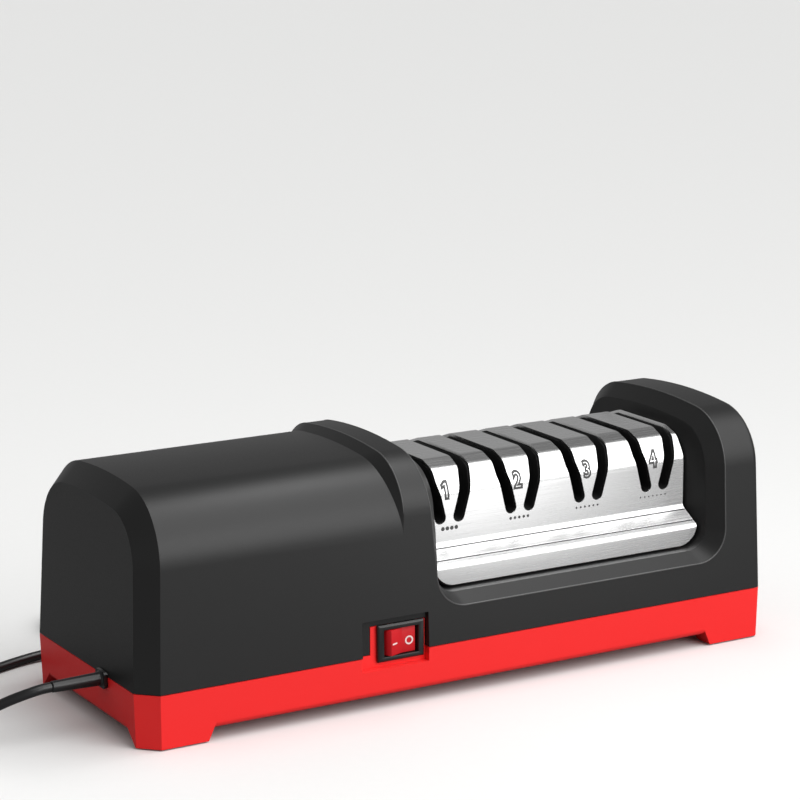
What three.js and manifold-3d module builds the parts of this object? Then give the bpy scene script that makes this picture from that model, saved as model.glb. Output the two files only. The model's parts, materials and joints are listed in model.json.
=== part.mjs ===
// Electric knife sharpener with four sharpening stages, in millimetres.
// +X runs along the casing towards the small arch, the front faces -Y and +Z is up.
// The origin is on the table, at the middle of the casing's length and depth.
import * as THREE from 'three';
import { mergeVertices } from 'three/addons/utils/BufferGeometryUtils.js';
import Module from 'manifold-3d';

const wasm = await Module();
wasm.setup();

// Driving dimensions

const degree = Math.PI / 180;
const overrun = 2;
const touch = 0.3;

const casing = {
  length: 288,
  depth: 105,
  parting: 22.05,
  wall: 2.5,
  crown: 240,
  blockCrest: 97.5,
  blockShoulder: 28.6,
  archCrest: 99.9,
  archShoulder: 24,
  cornerChamfer: 7.6,
  endRound: 2.65,
  sideDraft: 2.7 * degree,
  leftDraft: 2.6 * degree,
  rightDraft: 0.8 * degree,
  lipThickness: 1.1,
  lipHeight: 2.4,
  bossRadius: 4,
  bossBore: 1.3,
  bossInset: 20.5,
  bossLeft: 14,
  bossRight: 12,
};

// The saddle between the motor block's collar and the small arch
const saddle = {
  blockLength: 133,
  archWidth: 24.1,
  floor: 40.9,
  cornerRadius: 9,
  rimFloor: 36.6,
  rimRadius: 13.5,
  rimRight: 6,
  rimLeft: 1.9,
  rimLean: 0.08,
  bevelDepth: 6,
  windowEnd: 4,
  windowSide: 35,
};

const collar = { width: 16.4, bevelSlope: 2.6, bevelLand: 0.6 };

// The steel cover, its drops measured from its flat top
const cover = {
  top: 88.7,
  sheet: 1,
  endGap: 1,
  flatHalf: 17,
  facetHalf: 24.5,
  facetDrop: 2.7,
  faceHalf: 30,
  faceDrop: 10.7,
  ledgeDrop: 32.7,
  skirtHalf: 40.5,
  skirtDrop: 38.8,
  bottomGap: 1,
  topBend: 7,
  facetBend: 4,
  faceBend: 5,
  ledgeBend: 2,
  skirtBend: 2.4,
  cornerRadius: 9,
  leastBend: 0.5,
};

// The knife slots: two a stage, leaning towards each other as they go down
const slot = {
  pitch: 33.3,
  endRoom: 14,
  halfSpacing: 9.8,
  lean: 13.5 * degree,
  bottomDrop: 24.2,
  width: 5.3,
  lip: 0.1,
};

const guide = { wall: 2, channelWall: 1.4, shaftGap: 2 };

// The spindle line, shared by the motor and the abrasive discs
const spindle = { axis: 46, shaftRadius: 4, shaftLeft: 7.4, shaftRight: 1.5 };
const disc = { radius: 24, face: 3.4, thickness: 1.6, fit: 0.3, edge: 0.4 };
const hub = { radius: 5, collar: 6.6, collarThickness: 0.8 };
const spring = {
  wire: 0.8,
  innerRadius: 7,
  outerRadius: 10,
  turns: 2,
  steps: 10,
  sides: 5,
  leastGap: 0.4,
};
const bearing = { radius: 11, width: 7, rim: 1.8, recess: 0.6, offset: 2 };
const pillow = { half: 16, height: 15, foot: 3, screwRadius: 2.6, screwHead: 1.8 };

const coupling = {
  radius: 9,
  length: 9,
  tooth: 4,
  teeth: 3,
  toothHalf: 20 * degree,
  armHalf: 8 * degree,
  gap: 0.3,
  core: 5.6,
};
const motor = {
  radius: 26,
  shell: 1,
  length: 62,
  toCoupling: 13,
  shaftRadius: 2.5,
  capThickness: 5,
  magnetGap: 0.3,
  magnetInner: 17,
  magnetSpan: 128 * degree,
  magnetLength: 36,
  magnetOffset: 8,
  coreRadius: 16.2,
  coreLength: 30,
  coreOffset: 11,
  coreSlots: 10,
  slotWidth: 2.6,
  slotDepth: 7,
  windingRadius: 13,
  windingLength: 5,
  windingShoulder: 3,
  commutatorRadius: 8,
  commutatorLength: 8.4,
  commutatorOffset: 7,
  brushLength: 8,
  brushWidth: 5,
  brushHeight: 4,
  brushGuide: 1.2,
  fanRadius: 21,
  fanWidth: 8,
  fanBlades: 8,
  fanBlade: 1.2,
  fanGap: 2.5,
};
const ring = { thickness: 2.2, width: 6, inset: 8 };
const strap = { thickness: 1.2, width: 10, foot: 12, screwRadius: 3, screwHead: 2 };

// The base tray and its feet
const base = {
  bottom: 7.2,
  footBottom: 0.6,
  inset: 0.6,
  floor: 2.5,
  railRound: 5.5,
  footLeft: 30.6,
  footRight: 28.7,
  footSplay: 3,
  footDepth: 15.5,
  endSplay: 7,
  cradleHalf: 25,
  cradleDrop: 14,
  ventCount: 7,
  ventWidth: 3,
  ventPitch: 7,
  ventHalf: 16,
};
const pad = { length: 16, width: 5, corner: 1.6, recess: 1.5, left: 16, right: 14.5, inset: 4.5, edge: 0.4 };
const screw = { head: 3.6, headLength: 2.4, shank: 1.8, length: 14, fit: 0.4, seat: 1.6 };

// The rocker switch and the pocket that it sits in
const power = {
  toSaddle: 20.4,
  z: 26.2,
  pocketLeft: 18.1,
  pocketRight: 11.9,
  pocketTop: 10.3,
  pocketBottom: 9.7,
  pocketDepth: 3.2,
  panelLeft: 13.1,
  panelTop: 7.2,
  panelThickness: 2.5,
  bezelWidth: 21,
  bezelHeight: 15,
  bezelDepth: 1.6,
  bezelBevel: 0.6,
  bodyWidth: 18.8,
  bodyHeight: 12.9,
  bodyLength: 14,
  rockerWidth: 15,
  rockerHeight: 10.4,
  rockerFit: 0.3,
  pivotDepth: 4.4,
  throw: 11 * degree,
  proud: 0.9,
  rockerBack: 2.6,
  tagWidth: 0.8,
  tagHeight: 6.3,
  tagLength: 7,
  tagPitch: 6,
};

// The gland and the mains lead
const gland = {
  toFront: 35.1,
  z: 20.7,
  neckWidth: 7.4,
  neckHeight: 5.2,
  flangeWidth: 9.4,
  flangeHeight: 7.4,
  flangeThickness: 1.2,
  reliefLength: 20,
  rootRadius: 2.9,
  tipRadius: 2.2,
  tailLength: 12,
  tailRadius: 2.2,
  ribs: 5,
  ribDepth: 0.25,
};
const clamp = { width: 7, half: 7.3, thickness: 3, offset: 6, screwRadius: 2.4, screwHead: 1.6 };
const lead = { radius: 2, sides: 8, stepsPerPoint: 2 };
const coil = {
  x: -86,
  y: 106,
  innerRadius: 16.5,
  pitch: 4.5,
  turnsEachWay: 3,
  steps: 24,
  sides: 6,
  lift: 1.15,
  tail: 22,
  tailSteps: 5,
  climbTurns: 0.5,
  leastGap: 0.4,
};
const tie = { thickness: 0.8, width: 6, gap: 0.3 };
const plug = {
  neckLength: 17,
  bodyLength: 36,
  halfThickness: 6.8,
  halfWidth: 17.4,
  neckRadius: 3.2,
  shoulder: 5,
  shoulderWidth: 9,
  pinRadius: 2,
  pinLength: 19,
  pinSpacing: 18.8,
  pinSeat: 6,
  clearance: 0.05,
  rearShare: 0.8,
  shoulderShare: 0.92,
  taperShare: 0.67,
  squareness: 0.55,
  tipShares: [[1, 1], [0.3, 0.7], [0, 0.2], [0, 0]],
};

const board = {
  toSaddle: 35,
  toRear: 21.5,
  length: 32,
  width: 26,
  thickness: 1.6,
  height: 6,
  postRadius: 2.5,
  canRadius: 5,
  canHeight: 12,
  bridgeSize: 9,
  bridgeHeight: 5,
};

// The lead's free route from the gland's tip to the coil, chosen by hand
const leadRoute = [
  [-165.9, -17.4, 20.7], [-169.9, -17.4, 20.5], [-175, -16.6, 19.4], [-181, -13.8, 17],
  [-186.2, -9.2, 13.5], [-190, -2.8, 9.8], [-192.2, 5, 6.4], [-192.8, 14, 3.8],
  [-192, 24, 2.3], [-189.4, 34, 2.05], [-184.8, 43.4, 2.05], [-178.4, 51.8, 2.05],
  [-170.2, 59.2, 2.05], [-160.6, 65.4, 2.05], [-149.8, 70.2, 2.1], [-138.2, 73.8, 2.3],
  [-126, 75.6, 2.7], [-114, 76, 3.0], [-102, 76, 3.15], [-90, 76, 3.15], [-86.3, 76, 3.15],
];

// Places worked out from the driving dimensions

const leftEnd = -casing.length / 2;
const rightEnd = casing.length / 2;
const halfDepth = casing.depth / 2;
const saddleLeft = leftEnd + saddle.blockLength;
const saddleRight = rightEnd - saddle.archWidth;
const coverLeft = saddleLeft + cover.endGap;
const coverRight = saddleRight - cover.endGap;
const stageMiddle = (coverLeft + coverRight) / 2;
const coverBottom = saddle.floor + cover.bottomGap;
const trayTop = casing.parting - touch / 2;
const shellBottom = casing.parting + touch / 2;
const trayFloor = base.bottom + base.floor;
const leftBearing = saddleLeft - casing.wall - bearing.width - bearing.offset;
const rightBearing = saddleRight + casing.wall + bearing.offset;
const couplingRight = leftBearing - bearing.offset;
const couplingLeft = couplingRight - 2 * coupling.length - coupling.tooth - 2 * coupling.gap;
const motorRight = couplingLeft - motor.toCoupling;
const motorLeft = motorRight - motor.length;
const powerX = saddleLeft - power.toSaddle;
const boardX = saddleLeft - board.toSaddle;
const boardY = halfDepth - board.toRear;
const glandY = gland.toFront - halfDepth;
const stageCount = 1 + Math.floor((coverRight - coverLeft - 2 * slot.endRoom) / slot.pitch);
const stageCentres = Array.from({ length: stageCount }, (_, i) => (
  stageMiddle + (i - (stageCount - 1) / 2) * slot.pitch
));
const highest = Math.max(casing.blockCrest, casing.archCrest) + overrun;

// Materials

function finish(color, roughness, metalness = 0) {
  return new THREE.MeshStandardMaterial({ color, roughness, metalness });
}
const finishes = {
  blackAbs: finish('#333333', 0.5),
  redAbs: finish('#ff2d2d', 0.4),
  blackPlastic: finish('#1c1c1c', 0.55),
  rubber: finish('#202020', 0.9),
  brushedSteel: finish('#c9cacb', 0.32, 1),
  steel: finish('#b4b6b8', 0.35, 1),
  zincPlate: finish('#c3c6c9', 0.4, 1),
  diamond: finish('#8d9096', 0.7, 0.6),
  nylon: finish('#e6e2d6', 0.5),
  copper: finish('#b4632f', 0.4, 1),
  ferrite: finish('#3b3d40', 0.8),
  carbon: finish('#26272a', 0.7),
  redLens: finish('#c80514', 0.25),
  vinyl: finish('#151515', 0.5),
  board: finish('#2f6b45', 0.5),
};

// From geometry to solid and back

function solid(geometry) {
  geometry.deleteAttribute('normal');
  geometry.deleteAttribute('uv');
  const merged = mergeVertices(geometry);
  const corners = merged.index.array;
  const kept = [];
  for (let i = 0; i < corners.length; i += 3) {
    const [a, b, c] = [corners[i], corners[i + 1], corners[i + 2]];
    if (a !== b && b !== c && c !== a) kept.push(a, b, c);
  }
  const vertProperties = new Float32Array(merged.attributes.position.array);
  const make = (triVerts) => new wasm.Manifold(new wasm.Mesh({ numProp: 3, vertProperties, triVerts }));
  const made = make(new Uint32Array(kept));
  if (made.volume() > 0) return made;
  for (let i = 0; i < kept.length; i += 3) [kept[i + 1], kept[i + 2]] = [kept[i + 2], kept[i + 1]];
  return make(new Uint32Array(kept));
}

function surface(body) {
  const mesh = body.getMesh();
  const geometry = new THREE.BufferGeometry();
  const points = new Float32Array(mesh.numVert * 3);
  for (let i = 0; i < mesh.numVert; i += 1) {
    for (let k = 0; k < 3; k += 1) points[3 * i + k] = mesh.vertProperties[mesh.numProp * i + k];
  }
  geometry.setAttribute('position', new THREE.BufferAttribute(points, 3));
  geometry.setIndex(new THREE.BufferAttribute(new Uint32Array(mesh.triVerts), 1));
  geometry.computeVertexNormals();
  return geometry;
}

const union = (bodies) => bodies.reduce((sum, body) => sum.add(body));

// Ways to make a solid

const X = new THREE.Vector3(1, 0, 0);
const Y = new THREE.Vector3(0, 1, 0);
const Z = new THREE.Vector3(0, 0, 1);
const bases = {
  x: new THREE.Matrix4().makeBasis(Y, Z, X),
  y: new THREE.Matrix4().makeBasis(X, Z, Y.clone().negate()),
  z: new THREE.Matrix4(),
};

// An outline pushed along an axis: [y, z] along x, [x, z] along y, [x, y] along z
function prism(outline, axis, from, to) {
  const shape = new THREE.Shape(outline.map(([u, v]) => new THREE.Vector2(u, v)));
  const geometry = new THREE.ExtrudeGeometry(shape, { depth: to - from, bevelEnabled: false, steps: 1 });
  geometry.applyMatrix4(bases[axis]);
  if (axis === 'x') geometry.translate(from, 0, 0);
  if (axis === 'y') geometry.translate(0, to, 0);
  if (axis === 'z') geometry.translate(0, 0, from);
  return solid(geometry);
}

function boxGeometry([x0, x1], [y0, y1], [z0, z1]) {
  const geometry = new THREE.BoxGeometry(x1 - x0, y1 - y0, z1 - z0);
  geometry.translate((x0 + x1) / 2, (y0 + y1) / 2, (z0 + z1) / 2);
  return geometry;
}

const box = (xs, ys, zs) => solid(boxGeometry(xs, ys, zs));

const rectangle = ([u0, u1], [v0, v1]) => [[u0, v0], [u1, v0], [u1, v1], [u0, v1]];

// Equal boxes round the spindle line; the first one stands on it, towards +Z
function spokes(count, xs, ys, radii) {
  return union(Array.from({ length: count }, (_, i) => {
    const geometry = boxGeometry(xs, ys, radii);
    geometry.rotateX((2 * Math.PI * i) / count);
    geometry.translate(0, 0, spindle.axis);
    return solid(geometry);
  }));
}

// A profile of [along, radius] points turned about a line along X, Y or Z
function turned(profile, sides, axis = 'x', centre = [0, 0, 0]) {
  const closed = profile.map(([along, radius]) => new THREE.Vector2(radius, along));
  const onAxis = profile[0][1] === 0 && profile[profile.length - 1][1] === 0;
  if (!onAxis) closed.push(closed[0].clone());
  const geometry = new THREE.LatheGeometry(closed, sides);
  const turn = new THREE.Matrix4();
  if (axis === 'x') turn.makeBasis(Y, X, Z.clone().negate());
  if (axis === 'z') turn.makeBasis(X, Z, Y.clone().negate());
  geometry.applyMatrix4(turn);
  geometry.translate(...centre);
  return solid(geometry);
}

function rod(radius, from, to, sides, axis, centre) {
  return turned([[from, 0], [from, radius], [to, radius], [to, 0]], sides, axis, centre);
}

const alongSpindle = [0, 0, spindle.axis];

// Rings of points joined in order, closed at both ends
function loft(rings) {
  const count = rings[0].length;
  const points = rings.flat(2);
  const faces = [];
  for (let i = 1; i < count - 1; i += 1) {
    const last = (rings.length - 1) * count;
    faces.push(0, i + 1, i, last, last + i, last + i + 1);
  }
  for (let k = 0; k < rings.length - 1; k += 1) {
    for (let i = 0; i < count; i += 1) {
      const a = k * count + i;
      const b = k * count + ((i + 1) % count);
      faces.push(a, b, b + count, a, b + count, a + count);
    }
  }
  const geometry = new THREE.BufferGeometry();
  geometry.setAttribute('position', new THREE.Float32BufferAttribute(points, 3));
  geometry.setIndex(faces);
  return solid(geometry);
}

// A round tube along a curve, with its own radius at each step
function tube(curve, steps, sides, radiusAt) {
  const frames = curve.computeFrenetFrames(steps, false);
  const rings = [];
  for (let k = 0; k <= steps; k += 1) {
    const centre = curve.getPointAt(k / steps);
    const radius = radiusAt(k / steps);
    rings.push(Array.from({ length: sides }, (_, i) => {
      const angle = (2 * Math.PI * i) / sides;
      return centre.clone()
        .addScaledVector(frames.normals[k], radius * Math.cos(angle))
        .addScaledVector(frames.binormals[k], radius * Math.sin(angle))
        .toArray();
    }));
  }
  return loft(rings);
}

// An arc at a corner takes at most this share of the shorter side
const sideShare = 0.49;

// An outline whose corners are rounded by arcs; one radius a corner, or one for all
function rounded(points, radii, steps = 5, closed = true) {
  const result = [];
  points.forEach(([u, v], i) => {
    const radius = Array.isArray(radii) ? radii[i] : radii;
    const atEnd = !closed && (i === 0 || i === points.length - 1);
    if (!radius || atEnd) {
      result.push([u, v]);
      return;
    }
    const corner = new THREE.Vector2(u, v);
    const before = new THREE.Vector2(...points[(i + points.length - 1) % points.length]).sub(corner);
    const after = new THREE.Vector2(...points[(i + 1) % points.length]).sub(corner);
    const half = Math.acos(before.clone().normalize().dot(after.clone().normalize())) / 2;
    const most = sideShare * Math.min(before.length(), after.length());
    const reach = Math.min(radius / Math.tan(half), most);
    const arc = reach * Math.tan(half);
    const start = corner.clone().addScaledVector(before.clone().normalize(), reach);
    const middle = before.clone().normalize().add(after.clone().normalize()).normalize();
    const centre = corner.clone().addScaledVector(middle, arc / Math.sin(half));
    const turn = Math.PI - 2 * half;
    const way = Math.sign(before.x * after.y - before.y * after.x);
    for (let k = 0; k <= steps; k += 1) {
      const swing = start.clone().rotateAround(centre, (-way * turn * k) / steps);
      result.push([swing.x, swing.y]);
    }
  });
  return result;
}

// An open path moved to its right-hand side, with its corners kept sharp
function moved(points, distance) {
  const normals = points.slice(1).map(([u, v], i) => {
    const along = new THREE.Vector2(u - points[i][0], v - points[i][1]).normalize();
    return new THREE.Vector2(along.y, -along.x);
  });
  return points.map(([u, v], i) => {
    const a = normals[Math.max(i - 1, 0)];
    const b = normals[Math.min(i, normals.length - 1)];
    const mitre = a.clone().add(b);
    mitre.multiplyScalar((2 * distance) / mitre.lengthSq());
    return [u + mitre.x, v + mitre.y];
  });
}

// The casing's own section: drafted sides, round shoulders and a crowned top

// How many facets a shoulder and half a crown take, outside and inside
const fineSteps = [8, 3];
const coarseSteps = [4, 2];

const blockForm = { crest: casing.blockCrest, shoulder: casing.blockShoulder };
const archForm = { crest: casing.archCrest, shoulder: casing.archShoulder };

function section(form, inset, bottom, [shoulderSteps, crownSteps] = fineSteps) {
  const draft = casing.sideDraft;
  const along = new THREE.Vector2(-Math.sin(draft), Math.cos(draft));
  const crown = new THREE.Vector2(0, form.crest - casing.crown);
  const start = new THREE.Vector2(
    halfDepth - form.shoulder * Math.cos(draft),
    casing.parting - form.shoulder * Math.sin(draft),
  );
  const gap = start.clone().sub(crown);
  const across = gap.dot(along);
  const left = gap.lengthSq() - (casing.crown - form.shoulder) ** 2;
  const shoulder = start.clone().addScaledVector(along, Math.sqrt(across * across - left) - across);
  const reach = shoulder.clone().sub(crown).angle();
  const drop = (bottom - casing.parting) * Math.sin(draft);
  const half = [[halfDepth - (inset + drop) / Math.cos(draft), bottom]];
  for (let k = 0; k <= shoulderSteps; k += 1) {
    const angle = draft + ((reach - draft) * k) / shoulderSteps;
    const radius = form.shoulder - inset;
    half.push([shoulder.x + radius * Math.cos(angle), shoulder.y + radius * Math.sin(angle)]);
  }
  for (let k = 1; k <= crownSteps; k += 1) {
    const angle = reach + ((Math.PI / 2 - reach) * k) / crownSteps;
    const radius = casing.crown - inset;
    half.push([radius * Math.cos(angle), crown.y + radius * Math.sin(angle)]);
  }
  half[half.length - 1][0] = 0;
  const other = half.slice(0, -1).reverse().map(([y, z]) => [-y, z]);
  return [...half, ...other];
}

function station(x, form, inset, bottom, lean = 0, steps = fineSteps) {
  return section(form, inset, bottom, steps).map(([y, z]) => [x + lean * (z - casing.parting), y, z]);
}

const leftLean = Math.tan(casing.leftDraft);
const rightLean = -Math.tan(casing.rightDraft);

// The whole outer form, or the same form moved in by an inset
function casingForm(inset, bottom, steps = fineSteps) {
  const ridge = saddleLeft - saddle.rimLeft - collar.width;
  const block = section(blockForm, inset, bottom, steps);
  const raised = section(archForm, inset, bottom, steps);
  const bevelFoot = block.map(([y, z], i) => {
    const step = Math.hypot(raised[i][0] - y, raised[i][1] - z);
    return [ridge - collar.bevelLand - collar.bevelSlope * step, y, z];
  });
  const corner = casing.cornerChamfer + inset * (Math.SQRT2 - 1);
  const rings = [
    station(leftEnd + inset, blockForm, corner, bottom, leftLean, steps),
    station(leftEnd + corner, blockForm, inset, bottom, leftLean, steps),
    bevelFoot,
    raised.map(([y, z]) => [ridge, y, z]),
  ];
  const roundSteps = 3;
  const round = Math.max(casing.endRound - inset, cover.leastBend);
  for (let k = 0; k <= roundSteps; k += 1) {
    const angle = (Math.PI / 2) * (k / roundSteps);
    const x = rightEnd - inset - round + round * Math.sin(angle);
    rings.push(station(x, archForm, inset + round * (1 - Math.cos(angle)), bottom, rightLean, steps));
  }
  return loft(rings);
}

// The saddle seen from the front, at its outer ridge and at its walls, grown by a margin
function rimOutline(grow, top) {
  const floor = saddle.rimFloor - grow;
  const leftAt = (z) => saddleLeft - saddle.rimLeft - grow - saddle.rimLean * (z - saddle.floor);
  const right = saddleRight + saddle.rimRight + grow;
  const points = [[leftAt(floor), floor], [right, floor], [right, top], [leftAt(top), top]];
  const radius = saddle.rimRadius + grow;
  return rounded(points, [radius, radius, 0, 0], 6);
}

function innerOutline(grow, top) {
  const [left, right] = [saddleLeft - grow, saddleRight + grow];
  const floor = saddle.floor - grow;
  const points = [[left, floor], [right, floor], [right, top], [left, top]];
  const radius = saddle.cornerRadius + grow;
  return rounded(points, [radius, radius, 0, 0], 6);
}

// The bevelled rim: a flare on the front and rear faces, and a taper over the collar and the arch
function saddleRim(grow) {
  const faceAt = (z) => halfDepth - (z - casing.parting) * Math.tan(casing.sideDraft);
  const top = saddle.floor + 2 * saddle.rimRadius;
  const share = overrun / saddle.bevelDepth;
  const inner = innerOutline(grow, top);
  const outer = rimOutline(grow, top);
  const beyond = outer.map(([x, z], i) => [
    x + (x - inner[i][0]) * share, z + (z - inner[i][1]) * share,
  ]);
  const flare = [1, -1].map((side) => {
    const rings = [
      inner.map(([x, z]) => [x, side * (faceAt(z) - saddle.bevelDepth), z]),
      beyond.map(([x, z]) => [x, side * (faceAt(z) + overrun), z]),
    ];
    return loft(side > 0 ? rings : rings.reverse());
  });
  const high = top - overrun;
  const over = casing.archCrest + overrun;
  const deep = saddle.bevelDepth;
  const wide = halfDepth + overrun;
  // A taper that narrows towards the saddle and passes through the outer surface at its far end
  const taper = (near, far, lean, side) => {
    const past = overrun / Math.abs(far - near);
    const rings = [-past, 1 + past].map((share) => station(
      near + (far - near) * share - lean * share * (saddle.floor - casing.parting),
      archForm, deep * (1 - share), 0, lean * share,
    ));
    return loft(side > 0 ? rings : rings.reverse());
  };
  const rightNear = saddleRight + grow;
  const rightFar = rightNear + saddle.rimRight;
  const leftNear = saddleLeft - grow;
  const leftFar = leftNear - saddle.rimLeft;
  const leftAt = (z) => leftFar - saddle.rimLean * (z - saddle.floor) - overrun / 2;
  const rightCut = box([rightNear - overrun, rightFar + overrun / 2], [-wide, wide], [high, over])
    .subtract(taper(rightNear, rightFar, 0, 1));
  const leftCut = prism([
    [leftNear + overrun, high], [leftNear + overrun, over], [leftAt(over), over], [leftAt(high), high],
  ], 'y', -wide, wide).subtract(taper(leftNear, leftFar, -saddle.rimLean, -1));
  return union([...flare, rightCut, leftCut]);
}

function saddleVoid(grow) {
  const through = halfDepth + overrun;
  const outline = innerOutline(grow, casing.archCrest + 2 * casing.wall);
  return prism(outline, 'y', -through, through).add(saddleRim(grow));
}

// The steel cover's path from its front skirt over its top to its rear skirt
function coverPath(offset, steps = 3) {
  const c = cover;
  const half = [
    [c.flatHalf, c.top], [c.facetHalf, c.top - c.facetDrop], [c.faceHalf, c.top - c.faceDrop],
    [c.faceHalf, c.top - c.ledgeDrop], [c.skirtHalf, c.top - c.skirtDrop], [c.skirtHalf, coverBottom],
  ];
  const bends = [c.topBend, c.facetBend, c.faceBend, -c.ledgeBend, c.skirtBend, 0];
  const sharp = [...half.map(([y, z]) => [-y, z]).reverse(), ...half];
  const radii = [...bends.slice().reverse(), ...bends].map((bend) => (
    bend > 0 ? Math.max(bend - offset, c.leastBend) : Math.abs(bend) + (bend ? offset : 0)
  ));
  return rounded(moved(sharp, offset), radii, steps, false);
}

// The cover and the guide seen from the front, with their round lower corners
function skirtOutline(gap, bottom) {
  const [left, right] = [coverLeft + gap, coverRight - gap];
  const top = cover.top + overrun;
  return rounded(
    [[left, bottom], [right, bottom], [right, top], [left, top]],
    [cover.cornerRadius, cover.cornerRadius, 0, 0],
  );
}

// One slot seen from the front: a leaning strip with a round lower end
function slotOutline(centre, side, width, extra = 0, steps = 4) {
  const lean = new THREE.Vector2(side * Math.sin(slot.lean), Math.cos(slot.lean));
  const across = new THREE.Vector2(lean.y, -lean.x);
  const bottomZ = cover.top - slot.bottomDrop - extra;
  const atTop = new THREE.Vector2(centre + side * slot.halfSpacing, cover.top);
  const length = (cover.top - bottomZ) / lean.y;
  const radius = width / 2;
  const low = atTop.clone().addScaledVector(lean, radius - length);
  const high = atTop.clone().addScaledVector(lean, 2 * overrun);
  const points = [high.clone().addScaledVector(across, radius)];
  points.push(high.clone().addScaledVector(across, -radius));
  for (let k = 0; k <= steps; k += 1) {
    const angle = Math.PI + (Math.PI * k) / steps;
    points.push(low.clone()
      .addScaledVector(across, radius * Math.cos(angle))
      .addScaledVector(lean, radius * Math.sin(angle)));
  }
  return points.map((point) => [point.x, point.y]);
}

const slots = stageCentres.flatMap((centre) => [[centre, -1], [centre, 1]]);

function makeCover() {
  const outer = coverPath(0);
  const inner = coverPath(cover.sheet).reverse();
  const sheet = prism([...outer, ...inner], 'x', coverLeft, coverRight);
  const trimmed = sheet.intersect(prism(skirtOutline(0, coverBottom), 'y', -halfDepth, halfDepth));
  return slots.reduce((left, [centre, side]) => left.subtract(
    prism(slotOutline(centre, side, slot.width + 2 * slot.lip, slot.lip), 'y', -halfDepth, halfDepth),
  ), trimmed);
}

// The black guide under the cover, with a channel for each knife slot
function makeGuide() {
  const under = cover.sheet + touch;
  const [left, right] = [coverLeft + guide.wall, coverRight - guide.wall];
  const ends = coverBottom - cover.bottomGap + touch;
  const closed = (offset, steps) => {
    const path = coverPath(offset, steps);
    path[0][1] = ends - (offset > under ? overrun : 0);
    path[path.length - 1][1] = path[0][1];
    return path;
  };
  const outer = prism(closed(under, 3), 'x', coverLeft + touch, coverRight - touch)
    .intersect(prism(skirtOutline(touch, ends), 'y', -halfDepth, halfDepth));
  const inner = prism(closed(under + guide.wall, 1), 'x', left + touch, right - touch);
  const through = [-halfDepth, halfDepth];
  const channels = union(slots.map(([centre, side]) => prism(
    slotOutline(centre, side, slot.width + 2 * guide.channelWall, guide.channelWall), 'y', ...through,
  )));
  const cuts = union(slots.map(([centre, side]) => prism(
    slotOutline(centre, side, slot.width), 'y', ...through,
  )));
  const pockets = union(stageCentres.map((centre) => {
    const reach = disc.face + 2 * touch;
    return rod(disc.radius + guide.shaftGap, centre - reach, centre + reach, 24, 'x', alongSpindle);
  }));
  const passage = shaftPassage(coverLeft - overrun, coverRight + overrun, guide.shaftGap);
  return outer.subtract(inner.subtract(channels)).subtract(cuts).subtract(pockets).subtract(passage);
}

// The slot that lets a wall drop over the spindle from above
function shaftPassage(from, to, gap) {
  const radius = spindle.shaftRadius + gap;
  const low = saddle.floor - casing.wall - overrun;
  return rod(radius, from, to, 16, 'x', alongSpindle)
    .add(box([from, to], [-radius, radius], [low, spindle.axis]));
}

// Upper housing

const bossSide = halfDepth - casing.bossInset;
const bossPlaces = [
  [leftEnd + casing.bossLeft, -bossSide], [leftEnd + casing.bossLeft, bossSide],
  [rightEnd - casing.bossRight, -bossSide], [rightEnd - casing.bossRight, bossSide],
];

const pocketX = [powerX - power.pocketLeft, powerX + power.pocketRight];
const panelX = [powerX - power.panelLeft, powerX + power.pocketRight - touch];
const pocketFace = -(halfDepth - power.pocketDepth);

// The plan of the parting line, moved in by an inset
function planOutline(inset) {
  const chamfer = casing.cornerChamfer - inset * (2 - Math.SQRT2);
  const [left, right] = [leftEnd + inset, rightEnd - inset];
  const deep = halfDepth - inset;
  const round = Math.max(casing.endRound - inset, cover.leastBend);
  return rounded([
    [left + chamfer, -deep], [right, -deep], [right, deep], [left + chamfer, deep],
    [left, deep - chamfer], [left, -deep + chamfer],
  ], [0, round, round, 0, 0, 0], 3);
}

function makeHousing() {
  const outside = casingForm(0, shellBottom);
  const bosses = union(bossPlaces.map(([x, y]) => (
    rod(casing.bossRadius, shellBottom, highest, 12, 'z', [x, y, 0])
  )));
  const bores = union(bossPlaces.map(([x, y]) => {
    const top = shellBottom + screw.length;
    return rod(casing.bossBore + screw.fit, shellBottom - overrun, top, 10, 'z', [x, y, 0]);
  }));
  const deep = pocketFace + casing.wall;
  const pocketTop = power.z + power.pocketTop;
  const wallBehind = box([pocketX[0] - casing.wall, pocketX[1] + casing.wall],
    [-halfDepth - overrun, deep], [shellBottom, pocketTop + casing.wall]);
  const hollow = casingForm(casing.wall, shellBottom - overrun, coarseSteps)
    .subtract(saddleVoid(casing.wall)).subtract(bosses).subtract(wallBehind);
  const pocket = box(pocketX, [-halfDepth - overrun, pocketFace], [shellBottom - overrun, pocketTop]);
  const panelWindow = box(
    [panelX[0] - touch, panelX[1] + touch], [-halfDepth - overrun, deep + overrun],
    [shellBottom - overrun, power.z + power.panelTop + touch],
  );
  const rebate = prism(planOutline(casing.wall - casing.lipThickness - touch), 'z',
    shellBottom - overrun, shellBottom + casing.lipHeight + touch).subtract(bosses);
  const window = prism(rounded(rectangle(
    [saddleLeft + saddle.windowEnd, saddleRight - saddle.windowEnd], [-saddle.windowSide, saddle.windowSide],
  ), saddle.windowEnd, 3), 'z', shellBottom, saddle.floor + overrun);
  const wallSlots = shaftPassage(saddleLeft - casing.wall - overrun, saddleRight + casing.wall + overrun,
    guide.shaftGap + touch);
  const glandNotch = box([leftEnd - overrun, leftEnd + 2 * casing.wall],
    [glandY - gland.neckWidth / 2 - touch, glandY + gland.neckWidth / 2 + touch],
    [0, gland.z + gland.neckHeight / 2 + touch]);
  return [hollow, saddleVoid(0), pocket, panelWindow, rebate, window, wallSlots, glandNotch, bores]
    .reduce((left, cut) => left.subtract(cut), outside);
}

// Base tray with its four feet, the switch panel, the cradles and the bearing posts

const footEdges = [leftEnd + base.footLeft, rightEnd - base.footRight];

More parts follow.
